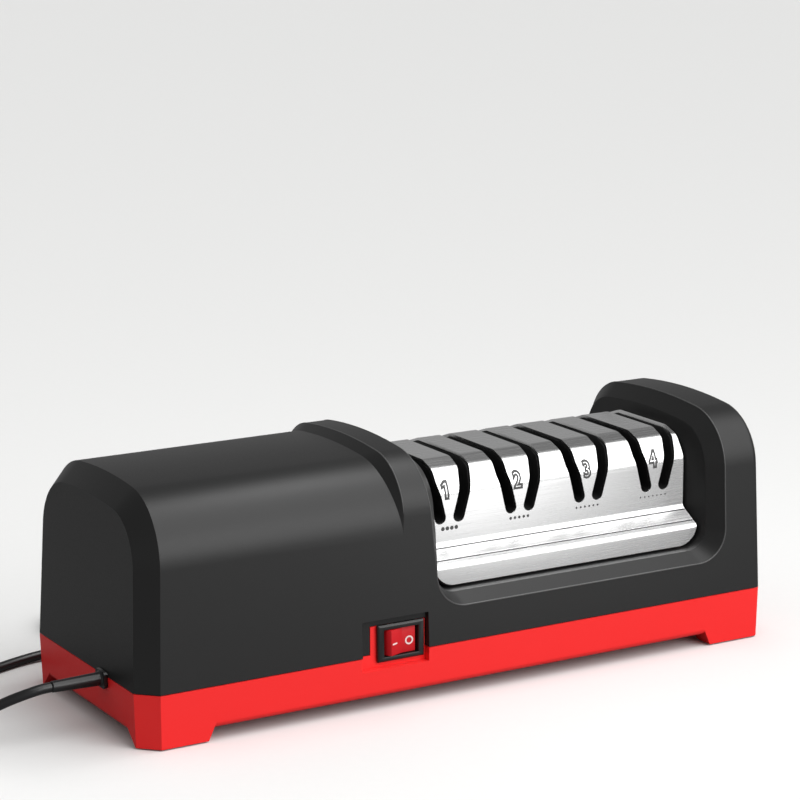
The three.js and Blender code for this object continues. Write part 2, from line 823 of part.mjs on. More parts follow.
function trayOutline(z, inset) {
  const drop = (trayTop - z) / (trayTop - base.footBottom);
  return planOutline(inset + base.inset * drop).map(([x, y]) => [x, y, z]);
}

function trayForm() {
  return loft([trayOutline(base.footBottom, 0), trayOutline(trayTop, 0)]);
}

// What is cut away between two feet, with a rounded lower edge along the rail
function railCuts() {
  const low = -overrun;
  const spread = (base.bottom - low) / (base.bottom - base.footBottom);
  const splay = base.footSplay * spread;
  const endSplay = base.endSplay * spread;
  const sideGap = halfDepth - base.footDepth;
  const deep = halfDepth + overrun;
  const under = [
    prism([
      [footEdges[0] - splay, low], [footEdges[1] + splay, low],
      [footEdges[1], base.bottom], [footEdges[0], base.bottom],
    ], 'y', -deep, deep),
    prism([
      [-sideGap - endSplay, low], [sideGap + endSplay, low], [sideGap, base.bottom], [-sideGap, base.bottom],
    ], 'x', leftEnd - overrun, rightEnd + overrun),
  ];
  const steps = 4;
  const edge = (half) => {
    const face = half - base.inset;
    const points = [[face + overrun, base.bottom - overrun], [face - base.railRound, base.bottom - overrun]];
    for (let k = 0; k <= steps; k += 1) {
      const angle = (Math.PI / 2) * (k / steps);
      points.push([
        face - base.railRound + base.railRound * Math.sin(angle),
        base.bottom + base.railRound * (1 - Math.cos(angle)),
      ]);
    }
    points.push([face + overrun, base.bottom + base.railRound]);
    return points;
  };
  const mirrored = (points) => points.map(([u, v]) => [-u, v]).reverse();
  const front = edge(halfDepth);
  const end = edge(casing.length / 2);
  return union([
    ...under,
    prism(front, 'x', ...footEdges), prism(mirrored(front), 'x', ...footEdges),
    prism(end, 'y', -sideGap, sideGap), prism(mirrored(end), 'y', -sideGap, sideGap),
  ]);
}

function padPlaces() {
  const side = halfDepth - pad.inset;
  return [leftEnd + pad.left, rightEnd - pad.right].flatMap((x) => [[x, -side], [x, side]]);
}

// A pad's outline about its middle, moved in by an inset
function padOutline([x, y], inset) {
  const [length, width] = [pad.length / 2 - inset, pad.width / 2 - inset];
  return rounded(rectangle([x - length, x + length], [y - width, y + width]), pad.corner - inset, 4);
}

const cradlePlaces = [motorLeft + ring.inset, motorRight - ring.inset - ring.width];
const strapMiddle = (motorLeft + motorRight) / 2;
const strapRadius = motor.radius + touch;

function makeTray() {
  const hollowTop = trayTop + casing.lipHeight + overrun;
  const lip = prism(
    planOutline(casing.wall - casing.lipThickness), 'z', trayTop - overrun, trayTop + casing.lipHeight,
  );
  const hollow = prism(planOutline(casing.wall + base.inset), 'z', trayFloor, hollowTop);
  const floorBlock = (xs, ys, top) => box(xs, ys, [trayFloor - base.floor / 2, top]);
  const axis = spindle.axis;
  const cradles = union(cradlePlaces.map((x) => floorBlock(
    [x, x + ring.width], [-base.cradleHalf, base.cradleHalf], axis - base.cradleDrop,
  ))).subtract(rod(motor.radius + ring.thickness + 2 * touch, motorLeft, motorRight, 32, 'x', alongSpindle));
  const strapPosts = union([1, -1].map((side) => {
    const near = side * (strapRadius + strap.thickness + touch);
    const far = side * (strapRadius + strap.thickness + strap.foot);
    return floorBlock(
      [strapMiddle - strap.width / 2, strapMiddle + strap.width / 2],
      [Math.min(near, far), Math.max(near, far)], axis - touch,
    );
  }));
  const posts = union([leftBearing, rightBearing].map((x) => (
    floorBlock([x, x + bearing.width], [-pillow.half, pillow.half], axis - touch / 2)
  ))).subtract(rod(
    bearing.radius + touch, leftBearing - overrun, rightBearing + 2 * bearing.width, 24, 'x', alongSpindle,
  ));
  const boardPosts = union(boardCorners().map(([x, y]) => (
    rod(board.postRadius, trayFloor - base.floor / 2, trayFloor + board.height, 10, 'z', [x, y, 0])
  )));
  const panelBack = pocketFace + power.panelThickness;
  const panelLow = power.z - power.pocketBottom;
  const panel = box(panelX, [pocketFace, panelBack], [trayFloor - base.floor / 2, power.z + power.panelTop])
    .add(box([pocketX[0] - casing.wall, pocketX[1] + casing.wall], [pocketFace, panelBack],
      [trayFloor - base.floor / 2, trayTop]));
  const pocket = box(pocketX, [-halfDepth - overrun, pocketFace], [panelLow, hollowTop]);
  const bodyHole = box(
    [powerX - power.bodyWidth / 2 - touch, powerX + power.bodyWidth / 2 + touch],
    [-halfDepth, panelBack + overrun],
    [power.z - power.bodyHeight / 2 - touch, power.z + power.panelTop + overrun],
  );
  const besidePanel = [
    [pocketX[0] - casing.wall - overrun, panelX[0] - touch],
    [panelX[1] + touch, pocketX[1] + casing.wall + overrun],
  ].map((xs) => box(xs, [-halfDepth - overrun, panelBack + touch], [trayTop, hollowTop]));
  const padSeats = union(padPlaces().map((spot) => (
    prism(padOutline(spot, -touch), 'z', -overrun, base.footBottom + pad.recess)
  )));
  const bosses = union(bossPlaces.map(([x, y]) => rod(
    screw.head + 2 * screw.seat, trayFloor - base.floor / 2, trayTop - touch, 14, 'z', [x, y, 0],
  )));
  const screwHoles = union(bossPlaces.map(([x, y]) => union([
    rod(screw.head + screw.fit, -overrun, screwSeat, 14, 'z', [x, y, 0]),
    rod(screw.shank + screw.fit, -overrun, hollowTop, 10, 'z', [x, y, 0]),
  ])));
  const vents = union(Array.from({ length: base.ventCount }, (_, i) => {
    const x = strapMiddle + (i - (base.ventCount - 1) / 2) * base.ventPitch;
    return box([x - base.ventWidth / 2, x + base.ventWidth / 2], [-base.ventHalf, base.ventHalf],
      [-overrun, trayFloor + overrun]);
  }));
  const glandNotch = box([leftEnd - overrun, leftEnd + 2 * casing.wall],
    [glandY - gland.neckWidth / 2 - touch, glandY + gland.neckWidth / 2 + touch],
    [gland.z - gland.neckHeight / 2 - touch, hollowTop]);
  const clampX = leftEnd + casing.wall + clamp.offset;
  const clampPosts = floorBlock(
    [clampX, clampX + clamp.width], [glandY - clamp.half, glandY + clamp.half],
    gland.z - touch / 2,
  ).subtract(rod(
    gland.tailRadius + touch, leftEnd, clampX + 2 * clamp.width, 12, 'x', [0, glandY, gland.z],
  ));
  return trayForm().add(lip).subtract(hollow).subtract(railCuts()).add(cradles).add(strapPosts)
    .add(posts).add(boardPosts).subtract(pocket).add(panel).subtract(union(besidePanel)).add(bosses)
    .add(clampPosts).subtract(bodyHole).subtract(padSeats).subtract(screwHoles).subtract(vents)
    .subtract(glandNotch);
}

const screwSeat = base.bottom + screw.headLength + screw.seat;

function makeScrew([x, y]) {
  const head = screwSeat - touch;
  return turned([
    [head - screw.headLength, 0], [head - screw.headLength, screw.head], [head, screw.head],
    [head, screw.shank], [head + screw.length / 2, screw.shank],
    [head + screw.length / 2 + screw.shank - casing.bossBore, casing.bossBore],
    [head + screw.length, casing.bossBore], [head + screw.length + casing.bossBore, 0],
  ], 12, 'z', [x, y, 0]);
}

function makePad(spot) {
  const top = base.footBottom + pad.recess - touch;
  return loft([[0, pad.edge], [pad.edge, 0], [top, 0]].map(([z, inset]) => (
    padOutline(spot, inset).map(([x, y]) => [x, y, z])
  )));
}

// Spindle, discs and drive

function makeShaft() {
  const from = couplingRight - coupling.length + spindle.shaftLeft;
  const to = rightBearing + bearing.width + spindle.shaftRight;
  const edge = disc.edge;
  return turned([
    [from, 0], [from, spindle.shaftRadius - edge], [from + edge, spindle.shaftRadius],
    [to - edge, spindle.shaftRadius], [to, spindle.shaftRadius - edge], [to, 0],
  ], 16, 'x', alongSpindle);
}

function makeBearing(x) {
  const inner = spindle.shaftRadius + touch;
  const outer = bearing.radius;
  const [from, to] = [x, x + bearing.width];
  return turned([
    [from, inner], [from, inner + bearing.rim], [from + bearing.recess, inner + bearing.rim],
    [from + bearing.recess, outer - bearing.rim], [from, outer - bearing.rim], [from, outer],
    [to, outer], [to, inner],
  ], 16, 'x', alongSpindle);
}

function makePillowCap(x) {
  const low = spindle.axis + touch / 2;
  const high = spindle.axis + pillow.height;
  const arch = rounded([
    [-pillow.half, low], [pillow.half, low], [pillow.half, low + pillow.foot],
    [pillow.height, high], [-pillow.height, high], [-pillow.half, low + pillow.foot],
  ], [0, 0, 0, pillow.foot, pillow.foot, 0], 3);
  const heads = union([1, -1].map((side) => rod(
    pillow.screwRadius, high - touch, high + pillow.screwHead, 10, 'z',
    [x + bearing.width / 2, side * (pillow.height - pillow.foot - touch), 0],
  )));
  return prism(arch, 'x', x, x + bearing.width).add(heads)
    .subtract(rod(bearing.radius + touch, x - overrun, x + 2 * bearing.width, 24, 'x', alongSpindle));
}

function makeHub(centre) {
  const bore = spindle.shaftRadius + touch;
  const stop = disc.face + touch;
  const end = stop + hub.collarThickness;
  return turned([
    [centre - end, bore], [centre - end, hub.collar], [centre - stop, hub.collar],
    [centre - stop, hub.radius], [centre + stop, hub.radius], [centre + stop, hub.collar],
    [centre + end, hub.collar], [centre + end, bore],
  ], 12, 'x', alongSpindle);
}

// One abrasive disc; it slides on its hub towards the middle of its stage
function makeDisc(centre, side) {
  const bore = hub.radius + disc.fit;
  const outer = disc.face;
  const inner = disc.face - disc.thickness;
  const profile = [
    [outer, bore], [outer, disc.radius - disc.edge], [outer - disc.edge, disc.radius],
    [inner, disc.radius], [inner, bore],
  ].map(([along, radius]) => [centre + side * along, radius]);
  return turned(profile, 24, 'x', alongSpindle);
}

// A flat conical spring that presses the two discs of a stage apart
class SpringCurve extends THREE.Curve {
  constructor(centre, length) {
    super();
    this.centre = centre;
    this.length = length;
  }

  getPoint(t) {
    const angle = 2 * Math.PI * spring.turns * t;
    const radius = spring.innerRadius + (spring.outerRadius - spring.innerRadius) * t;
    return new THREE.Vector3(
      this.centre + this.length * (t - 0.5),
      radius * Math.cos(angle),
      spindle.axis + radius * Math.sin(angle),
    );
  }
}

function makeSpring(centre) {
  const length = 2 * (disc.face - disc.thickness - touch) - spring.wire;
  const curve = new SpringCurve(centre, length);
  const points = curve.getPoints(spring.steps * spring.turns);
  const gap = leastGap(points, spring.wire / 2, spring.steps - 1);
  console.log(`spring's least gap to itself ${gap.toFixed(2)} mm, wanted over ${spring.leastGap} mm`);
  return tube(curve, spring.steps * spring.turns, spring.sides, () => spring.wire / 2);
}

// A coupling half: a hub with three teeth that mesh with the rubber star
function makeCouplingHalf(from, side, bore) {
  const back = from;
  const front = from + side * coupling.length;
  const wheel = turned([[back, bore], [back, coupling.radius], [front, coupling.radius], [front, bore]],
    18, 'x', alongSpindle);
  const tip = front + side * coupling.tooth;
  const steps = 3;
  const teeth = union(Array.from({ length: coupling.teeth }, (_, i) => {
    const middle = (2 * Math.PI * i) / coupling.teeth + (side > 0 ? 0 : Math.PI / coupling.teeth);
    const arc = (radius) => Array.from({ length: steps + 1 }, (__, k) => {
      const angle = middle + coupling.toothHalf * ((2 * k) / steps - 1);
      return [radius * Math.cos(angle), spindle.axis + radius * Math.sin(angle)];
    });
    const outline = [...arc(coupling.radius), ...arc(coupling.core).reverse()];
    const root = front - side * touch;
    return prism(outline, 'x', Math.min(root, tip), Math.max(root, tip));
  }));
  return wheel.add(teeth);
}

function makeSpider() {
  const from = couplingLeft + coupling.length + coupling.gap;
  const to = from + coupling.tooth;
  const bore = spindle.shaftRadius;
  const core = turned([
    [from, bore], [from, coupling.core - touch], [to, coupling.core - touch], [to, bore],
  ], 18, 'x', alongSpindle);
  const arms = union(Array.from({ length: 2 * coupling.teeth }, (_, i) => {
    const middle = (Math.PI * (i + 1 / 2)) / coupling.teeth;
    const low = coupling.core - 2 * touch;
    const corner = (radius, side) => {
      const angle = middle + side * coupling.armHalf;
      return [radius * Math.cos(angle), spindle.axis + radius * Math.sin(angle)];
    };
    return prism([
      corner(low, -1), corner(coupling.radius, -1), corner(coupling.radius, 1), corner(low, 1),
    ], 'x', from, to);
  }));
  return core.add(arms);
}

// Motor

function makeMotorCan() {
  const r = motor.radius;
  const inner = r - motor.shell;
  const bore = motor.shaftRadius + touch;
  const plate = motorRight - motor.shell;
  const nose = bore + 2 * motor.shell;
  return turned([
    [motorLeft, inner], [motorLeft, r], [motorRight - motor.shell, r], [motorRight, r - motor.shell],
    [motorRight, nose], [motorRight + motor.shell, nose], [motorRight + motor.shell, bore],
    [plate - motor.capThickness, bore], [plate - motor.capThickness, nose], [plate, nose], [plate, inner],
  ], 24, 'x', alongSpindle);
}

function makeMagnet(side) {
  const outer = motor.radius - motor.shell - motor.magnetGap;
  const steps = 8;
  const outline = [];
  const arcPoint = (radius, k) => {
    const angle = (side > 0 ? 0 : Math.PI) + motor.magnetSpan * (k / steps - 0.5) + Math.PI / 2;
    return [radius * Math.cos(angle), spindle.axis + radius * Math.sin(angle)];
  };
  for (let k = 0; k <= steps; k += 1) outline.push(arcPoint(outer, k));
  for (let k = steps; k >= 0; k -= 1) outline.push(arcPoint(motor.magnetInner, k));
  const to = motorRight - motor.magnetOffset;
  return prism(outline, 'x', to - motor.magnetLength, to);
}

function makeEndCap() {
  const to = motorLeft - touch;
  const from = to - motor.capThickness;
  const bore = motor.shaftRadius + touch;
  const nose = bore + 2 * motor.shell;
  const plate = turned([
    [from, nose], [from - motor.shell, nose], [from - motor.shell, bore], [to, bore],
    [to, motor.radius - motor.shell], [from + motor.shell, motor.radius - motor.shell],
    [from, motor.radius - 2 * motor.shell],
  ], 24, 'x', alongSpindle);
  const brushFrom = motorLeft + motor.commutatorOffset;
  const arms = union([1, -1].map((side) => {
    const low = side * (motor.commutatorRadius + 2 * touch);
    const high = side * (motor.commutatorRadius + motor.brushLength);
    const [near, far] = [Math.min(low, high), Math.max(low, high)];
    const half = motor.brushHeight / 2 + touch;
    const guideBox = box([to - touch, brushFrom + motor.brushWidth + 2 * motor.brushGuide], [near, far],
      [spindle.axis - half - motor.brushGuide, spindle.axis + half + motor.brushGuide]);
    const brushX = brushFrom + motor.brushGuide;
    const hole = box([brushX - touch, brushX + motor.brushWidth + touch],
      [near - overrun, far + overrun], [spindle.axis - half, spindle.axis + half]);
    return guideBox.subtract(hole);
  }));
  return plate.add(arms);
}

function makeBrush(side) {
  const from = motorLeft + motor.commutatorOffset + motor.brushGuide;
  const low = side * (motor.commutatorRadius + touch);
  const high = side * (motor.commutatorRadius + touch + motor.brushLength);
  const half = motor.brushHeight / 2;
  return box([from, from + motor.brushWidth], [Math.min(low, high), Math.max(low, high)],
    [spindle.axis - half, spindle.axis + half]);
}

function makeMotorShaft() {
  const from = motorLeft - motor.capThickness - touch - motor.shell;
  const to = couplingLeft + coupling.length;
  return rod(motor.shaftRadius, from, to, 12, 'x', alongSpindle);
}

function makeCommutator() {
  const from = motorLeft + motor.commutatorOffset;
  const bore = motor.shaftRadius + touch;
  const r = motor.commutatorRadius;
  const to = from + motor.commutatorLength;
  const flange = r + motor.shell;
  return turned([
    [from, bore], [from, r], [to - motor.shell, r], [to - motor.shell, flange], [to, flange], [to, bore],
  ], 20, 'x', alongSpindle);
}

function makeArmature() {
  const to = motorRight - motor.coreOffset;
  const from = to - motor.coreLength;
  const bore = motor.shaftRadius + touch;
  const r = motor.coreRadius;
  const core = turned([[from, bore], [from, r], [to, r], [to, bore]], 20, 'x', alongSpindle);
  const half = motor.slotWidth / 2;
  const cuts = spokes(
    motor.coreSlots, [from - overrun, to + overrun], [-half, half], [r - motor.slotDepth, r + overrun],
  );
  const winding = motor.windingRadius;
  const low = motor.commutatorRadius;
  const bulge = (x, side) => turned([
    [x - side * touch, low], [x - side * touch, winding], [x + side * motor.windingShoulder, winding],
    [x + side * motor.windingLength, (winding + low) / 2], [x + side * motor.windingLength, low],
  ], 16, 'x', alongSpindle);
  return core.subtract(cuts).add(bulge(from, -1)).add(bulge(to, 1));
}

function makeFan() {
  const from = motorRight + motor.fanGap;
  const to = from + motor.fanWidth;
  const bore = motor.shaftRadius + touch;
  const plate = turned([
    [from, bore], [from, motor.fanRadius], [from + motor.fanBlade, motor.fanRadius],
    [from + motor.fanBlade, bore + 2 * motor.fanBlade], [to, bore + 2 * motor.fanBlade], [to, bore],
  ], 24, 'x', alongSpindle);
  const half = motor.fanBlade / 2;
  const blades = spokes(
    motor.fanBlades, [from + half, to], [-half, half], [bore + motor.fanBlade, motor.fanRadius - touch],
  );
  return plate.add(blades);
}

function makeMotorRing(x) {
  const inner = motor.radius + touch;
  const outer = motor.radius + ring.thickness;
  return turned([
    [x, inner], [x, outer], [x + ring.width, outer], [x + ring.width, inner],
  ], 24, 'x', alongSpindle);
}

function makeStrap() {
  const inner = strapRadius;
  const outer = strapRadius + strap.thickness;
  const steps = 14;
  const band = [];
  for (let k = 0; k <= steps; k += 1) {
    const angle = (Math.PI * k) / steps;
    band.push([outer * Math.cos(angle), spindle.axis + outer * Math.sin(angle)]);
  }
  for (let k = steps; k >= 0; k -= 1) {
    const angle = (Math.PI * k) / steps;
    band.push([inner * Math.cos(angle), spindle.axis + inner * Math.sin(angle)]);
  }
  const [from, to] = [strapMiddle - strap.width / 2, strapMiddle + strap.width / 2];
  const feet = union([1, -1].map((side) => {
    const near = side * (inner + strap.thickness / 2);
    const far = side * (outer + strap.foot);
    const tab = box([from, to], [Math.min(near, far), Math.max(near, far)],
      [spindle.axis, spindle.axis + strap.thickness]);
    const head = rod(strap.screwRadius, spindle.axis + strap.thickness / 2,
      spindle.axis + strap.thickness + strap.screwHead, 10, 'z',
      [strapMiddle, side * (outer + strap.foot / 2), 0]);
    return tab.add(head);
  }));
  return prism(band, 'x', from, to).add(feet);
}

// Switch

const bezelFace = pocketFace - touch - power.bezelDepth;

function makeSwitchBody() {
  const [w, h] = [power.bezelWidth / 2, power.bezelHeight / 2];
  const bevel = power.bezelBevel;
  const ringAt = (y, inset) => [
    [powerX - w + inset, y, power.z - h + inset], [powerX + w - inset, y, power.z - h + inset],
    [powerX + w - inset, y, power.z + h - inset], [powerX - w + inset, y, power.z + h - inset],
  ];
  const bezel = loft([
    ringAt(bezelFace, bevel), ringAt(bezelFace + bevel, 0), ringAt(pocketFace - touch, 0),
  ].reverse());
  const back = bezelFace + power.bezelDepth + power.bodyLength;
  const body = box([powerX - power.bodyWidth / 2, powerX + power.bodyWidth / 2],
    [pocketFace - 2 * touch, back], [power.z - power.bodyHeight / 2, power.z + power.bodyHeight / 2]);
  const well = rockerReach();
  const half = power.rockerHeight / 2 + power.rockerFit;
  const room = box([powerX - well, powerX + well],
    [bezelFace - overrun, bezelFace + power.pivotDepth + well], [power.z - half, power.z + half]);
  const tags = union([-1, 1].map((side) => {
    const x = powerX + (side * power.tagPitch) / 2;
    return box([x - power.tagWidth / 2, x + power.tagWidth / 2], [back - touch, back + power.tagLength],
      [power.z - power.tagHeight / 2, power.z + power.tagHeight / 2]);
  }));
  return bezel.add(body).subtract(room).add(tags);
}

function rockerReach() {
  return power.rockerWidth / 2 + power.rockerFit;
}

// The rocker turns about an upright line behind the bezel; at rest its right wing is pressed
function makeRocker() {
  const pivot = new THREE.Vector2(powerX, bezelFace + power.pivotDepth);
  const half = power.rockerWidth / 2;
  const middle = power.proud - power.pivotDepth;
  const tipAngle = Math.atan2(power.pivotDepth - power.proud, half);
  const swept = tipAngle + power.throw + Math.atan2(power.rockerBack, half);
  const steps = 3;
  const wing = [];
  for (let k = 0; k <= steps; k += 1) {
    const angle = tipAngle + power.throw - swept * (k / steps);
    wing.push([half * Math.cos(angle), -half * Math.sin(angle)]);
  }
  const free = [
    [0, middle], ...wing, [0, power.pivotDepth],
    ...wing.map(([x, y]) => [-x, y]).reverse(),
  ];
  const outline = free.map(([x, y]) => {
    const point = new THREE.Vector2(x, y).rotateAround(new THREE.Vector2(), power.throw);
    return [pivot.x + point.x, pivot.y + point.y];
  });
  const h = power.rockerHeight / 2;
  return prism(outline, 'z', power.z - h, power.z + h);
}

// Gland with its tapered relief, and the clamp inside

function makeRelief() {
  const rect = (width, height) => rectangle(
    [glandY - width / 2, glandY + width / 2], [gland.z - height / 2, gland.z + height / 2],
  );
  const outside = leftEnd - touch;
  const inside = leftEnd + casing.wall + base.inset + touch;
  const t = gland.flangeThickness;
  const flange = rounded(rect(gland.flangeWidth, gland.flangeHeight), gland.flangeThickness, 2);
  const neck = prism(rect(gland.neckWidth, gland.neckHeight), 'x', outside - t, inside + t);
  const tip = outside - t - gland.reliefLength;
  const steps = 2 * gland.ribs;
  const profile = [[outside, 0]];
  for (let k = 0; k <= steps; k += 1) {
    const share = k / steps;
    const radius = gland.rootRadius + (gland.tipRadius - gland.rootRadius) * share;
    const groove = k % 2 && k < steps ? gland.ribDepth : 0;
    profile.push([outside - t / 2 + (tip - outside + t / 2) * share, radius - groove]);
  }
  profile.push([tip, 0]);
  const cone = turned(profile.reverse(), 12, 'x', [0, glandY, gland.z]);
  const tail = rod(gland.tailRadius, inside, inside + t + gland.tailLength, 12, 'x', [0, glandY, gland.z]);
  return union([
    prism(flange, 'x', outside - t, outside), neck, prism(flange, 'x', inside, inside + t), cone, tail,
  ]);
}

function makeClamp() {
  const from = leftEnd + casing.wall + clamp.offset;
  const to = from + clamp.width;
  const low = gland.z + touch / 2;
  const high = low + gland.tailRadius + clamp.thickness;
  const bar = box([from, to], [glandY - clamp.half, glandY + clamp.half], [low, high])
    .subtract(rod(gland.tailRadius + touch, from - overrun, to + overrun, 12, 'x', [0, glandY, gland.z]));
  const heads = union([1, -1].map((side) => rod(
    clamp.screwRadius, high - touch, high + clamp.screwHead, 10, 'z',
    [(from + to) / 2, glandY + side * (clamp.half - clamp.screwRadius - touch), 0],
  )));
  return bar.add(heads);
}

// Rectifier board

function boardCorners() {
  const inset = 2 * board.postRadius;
  return [1, -1].flatMap((a) => [1, -1].map((b) => [
    boardX + a * (board.length / 2 - inset), boardY + b * (board.width / 2 - inset),
  ]));
}

function makeBoard() {
  const low = trayFloor + board.height + touch;
  const high = low + board.thickness;
  const plate = box([boardX - board.length / 2, boardX + board.length / 2],
    [boardY - board.width / 2, boardY + board.width / 2], [low, high]);
  const can = rod(board.canRadius, high - touch, high + board.canHeight, 16, 'z',
    [boardX + board.length / 4, boardY, 0]);
  const half = board.bridgeSize / 2;
  const bridge = box([boardX - board.length / 4 - half, boardX - board.length / 4 + half],
    [boardY - half, boardY + half], [high - touch, high + board.bridgeHeight]);
  return plate.add(can).add(bridge);
}

// Mains lead

function makeLead() {
  const points = leadRoute.map((point) => new THREE.Vector3(...point));
  const curve = new THREE.CatmullRomCurve3(points, false, 'centripetal');
  const ring8 = new THREE.Shape(Array.from({ length: lead.sides }, (_, i) => {
    const angle = (2 * Math.PI * i) / lead.sides;
    return new THREE.Vector2(lead.radius * Math.cos(angle), lead.radius * Math.sin(angle));
  }));
  const steps = lead.stepsPerPoint * (leadRoute.length - 1);
  console.log(`lead to the coil ${curve.getLength().toFixed(1)} mm`);
  return solid(new THREE.ExtrudeGeometry(ring8, { steps, bevelEnabled: false, extrudePath: curve }));
}

// The coil: in along the lower layer, up where the spiral turns back, and out along the upper one
class CoilCurve extends THREE.Curve {
  constructor() {
    super();
    this.windings = 2 * coil.turnsEachWay;
    this.low = lead.radius + coil.lift;
  }

  getPoint(t) {
    const turn = t * this.windings - coil.turnsEachWay;
    const radius = coil.innerRadius + coil.pitch * Math.abs(turn);
    const climb = THREE.MathUtils.clamp(turn / coil.climbTurns + 1 / 2, 0, 1);
    const angle = 2 * Math.PI * turn - Math.PI / 2;
    return new THREE.Vector3(
      coil.x + radius * Math.cos(angle),
      coil.y + radius * Math.sin(angle),
      this.low + coil.pitch * climb,
    );
  }
}

const coilOuter = coil.innerRadius + coil.pitch * coil.turnsEachWay;
const plugAxis = plug.halfThickness + plug.clearance;
const plugRear = coil.x + coil.tail + touch;
const coilFront = coil.y - coilOuter;

function coilPoints() {
  const curve = new CoilCurve();
  const count = coil.steps * 2 * coil.turnsEachWay;
  const points = Array.from({ length: count + 1 }, (_, i) => curve.getPoint(i / count));
  const end = points[points.length - 1];
  for (let k = 1; k <= coil.tailSteps; k += 1) {
    const share = k / coil.tailSteps;
    const ease = share * share * (3 - 2 * share);
    points.push(new THREE.Vector3(end.x + coil.tail * share, end.y, end.z + (plugAxis - end.z) * ease));
  }
  return points;
}

function sweep(points, radius, sides) {
  const tangents = points.map((point, i) => {
    const before = points[Math.max(i - 1, 0)];
    const after = points[Math.min(i + 1, points.length - 1)];
    return after.clone().sub(before).normalize();
  });
  tangents[0] = X.clone();
  tangents[points.length - 1] = X.clone();
  const rings = points.map((point, i) => {
    const out = new THREE.Vector3().crossVectors(tangents[i], Z).normalize();
    const up = new THREE.Vector3().crossVectors(out, tangents[i]).normalize();
    return Array.from({ length: sides }, (_, k) => {
      const angle = (2 * Math.PI * k) / sides;
      return point.clone().addScaledVector(out, radius * Math.cos(angle))
        .addScaledVector(up, radius * Math.sin(angle)).toArray();
    });
  });
  return loft(rings);
}

function leastGap(points, radius, apart) {
  let least = Infinity;
  points.forEach((a, i) => {
    for (let k = i + apart; k < points.length; k += 1) {
      least = Math.min(least, a.distanceTo(points[k]) - 2 * radius);
    }
  });
  return least;
}

function makeCoil() {
  const points = coilPoints();
  let length = 0;
  points.slice(1).forEach((point, i) => {
    length += point.distanceTo(points[i]);
  });
  console.log(`coil ${length.toFixed(1)} mm of lead`);
  const gap = leastGap(points, lead.radius, coil.steps / 2);
  console.log(`coil's least gap to itself ${gap.toFixed(2)} mm, wanted over ${coil.leastGap} mm`);
  return sweep(points, lead.radius, coil.sides);
}

// A band round the coil's bundle, on the side away from the casing
function makeTie() {
  const inner = coil.y + coil.innerRadius - lead.radius - tie.gap;
  const outer = coil.y + coilOuter + lead.radius + tie.gap;
  const low = coil.lift - tie.gap;
  const high = coil.lift + 2 * lead.radius + coil.pitch + tie.gap;
  const t = tie.thickness;
  const frame = rounded(rectangle([inner - t, outer + t], [low - t, high + t]), 2 * t, 3);
  const hole = rounded(rectangle([inner, outer], [low, high]), t, 3);
  return prism(frame, 'x', coil.x - tie.width / 2, coil.x + tie.width / 2)
    .subtract(prism(hole, 'x', coil.x - tie.width, coil.x + tie.width));
}

function makePlug() {
  const sides = 16;
  const ringAt = (x, halfWidth, halfHeight, squareness) => Array.from({ length: sides }, (_, i) => {
    const angle = (2 * Math.PI * (i + 1 / 2)) / sides;
    const [c, s] = [Math.cos(angle), Math.sin(angle)];
    return [
      x, coilFront + Math.sign(c) * halfWidth * Math.abs(c) ** squareness,
      plugAxis + Math.sign(s) * halfHeight * Math.abs(s) ** squareness,
    ];
  });
  const rear = plug.neckRadius * plug.rearShare;
  const square = plug.squareness;
  const front = plugRear + plug.neckLength + plug.bodyLength;
  const shoulderX = plugRear + plug.neckLength;
  const body = loft([
    ringAt(plugRear, rear, rear, 1),
    ringAt(shoulderX, plug.neckRadius, plug.neckRadius, 1),
    ringAt(shoulderX + plug.shoulder, plug.shoulderWidth, plug.halfThickness * plug.shoulderShare, square),
    ringAt(shoulderX + plug.bodyLength * plug.taperShare, plug.halfWidth, plug.halfThickness, square),
    ringAt(front, plug.halfWidth, plug.halfThickness, square),
  ]);
  return pinPlaces().reduce((left, y) => left.subtract(rod(
    plug.pinRadius + touch, front - plug.pinSeat, front + overrun, 12, 'x', [0, y, plugAxis],
  )), body);
}

function pinPlaces() {
  return [coilFront - plug.pinSpacing / 2, coilFront + plug.pinSpacing / 2];
}

function makePin(y) {
  const front = plugRear + plug.neckLength + plug.bodyLength;
  const from = front - plug.pinSeat + touch;
  const to = front + plug.pinLength;
  const r = plug.pinRadius;
  const tip = plug.tipShares.map(([back, wide]) => [to - r * back, r * wide]);
  return turned([[from, 0], [from, r], ...tip], 12, 'x', [0, y, plugAxis]);
}

// The assembly

const sharpener = new THREE.Group();
sharpener.name = 'electric_knife_sharpener';

function place(name, body, material, parent = sharpener) {
  const mesh = new THREE.Mesh(surface(body), material);
  mesh.name = name;
  parent.add(mesh);
}

function group(name) {
  const made = new THREE.Group();
  made.name = name;
  sharpener.add(made);
  return made;
}

const shell = group('casing');
place('upper_housing', makeHousing(), finishes.blackAbs, shell);
place('base_tray', makeTray(), finishes.redAbs, shell);
padPlaces().forEach((spot, i) => place(`foot_pad_${i + 1}`, makePad(spot), finishes.rubber, shell));
bossPlaces.forEach((spot, i) => place(`housing_screw_${i + 1}`, makeScrew(spot), finishes.zincPlate, shell));
place('guide_cover', makeCover(), finishes.brushedSteel, shell);
place('knife_guide', makeGuide(), finishes.blackPlastic, shell);

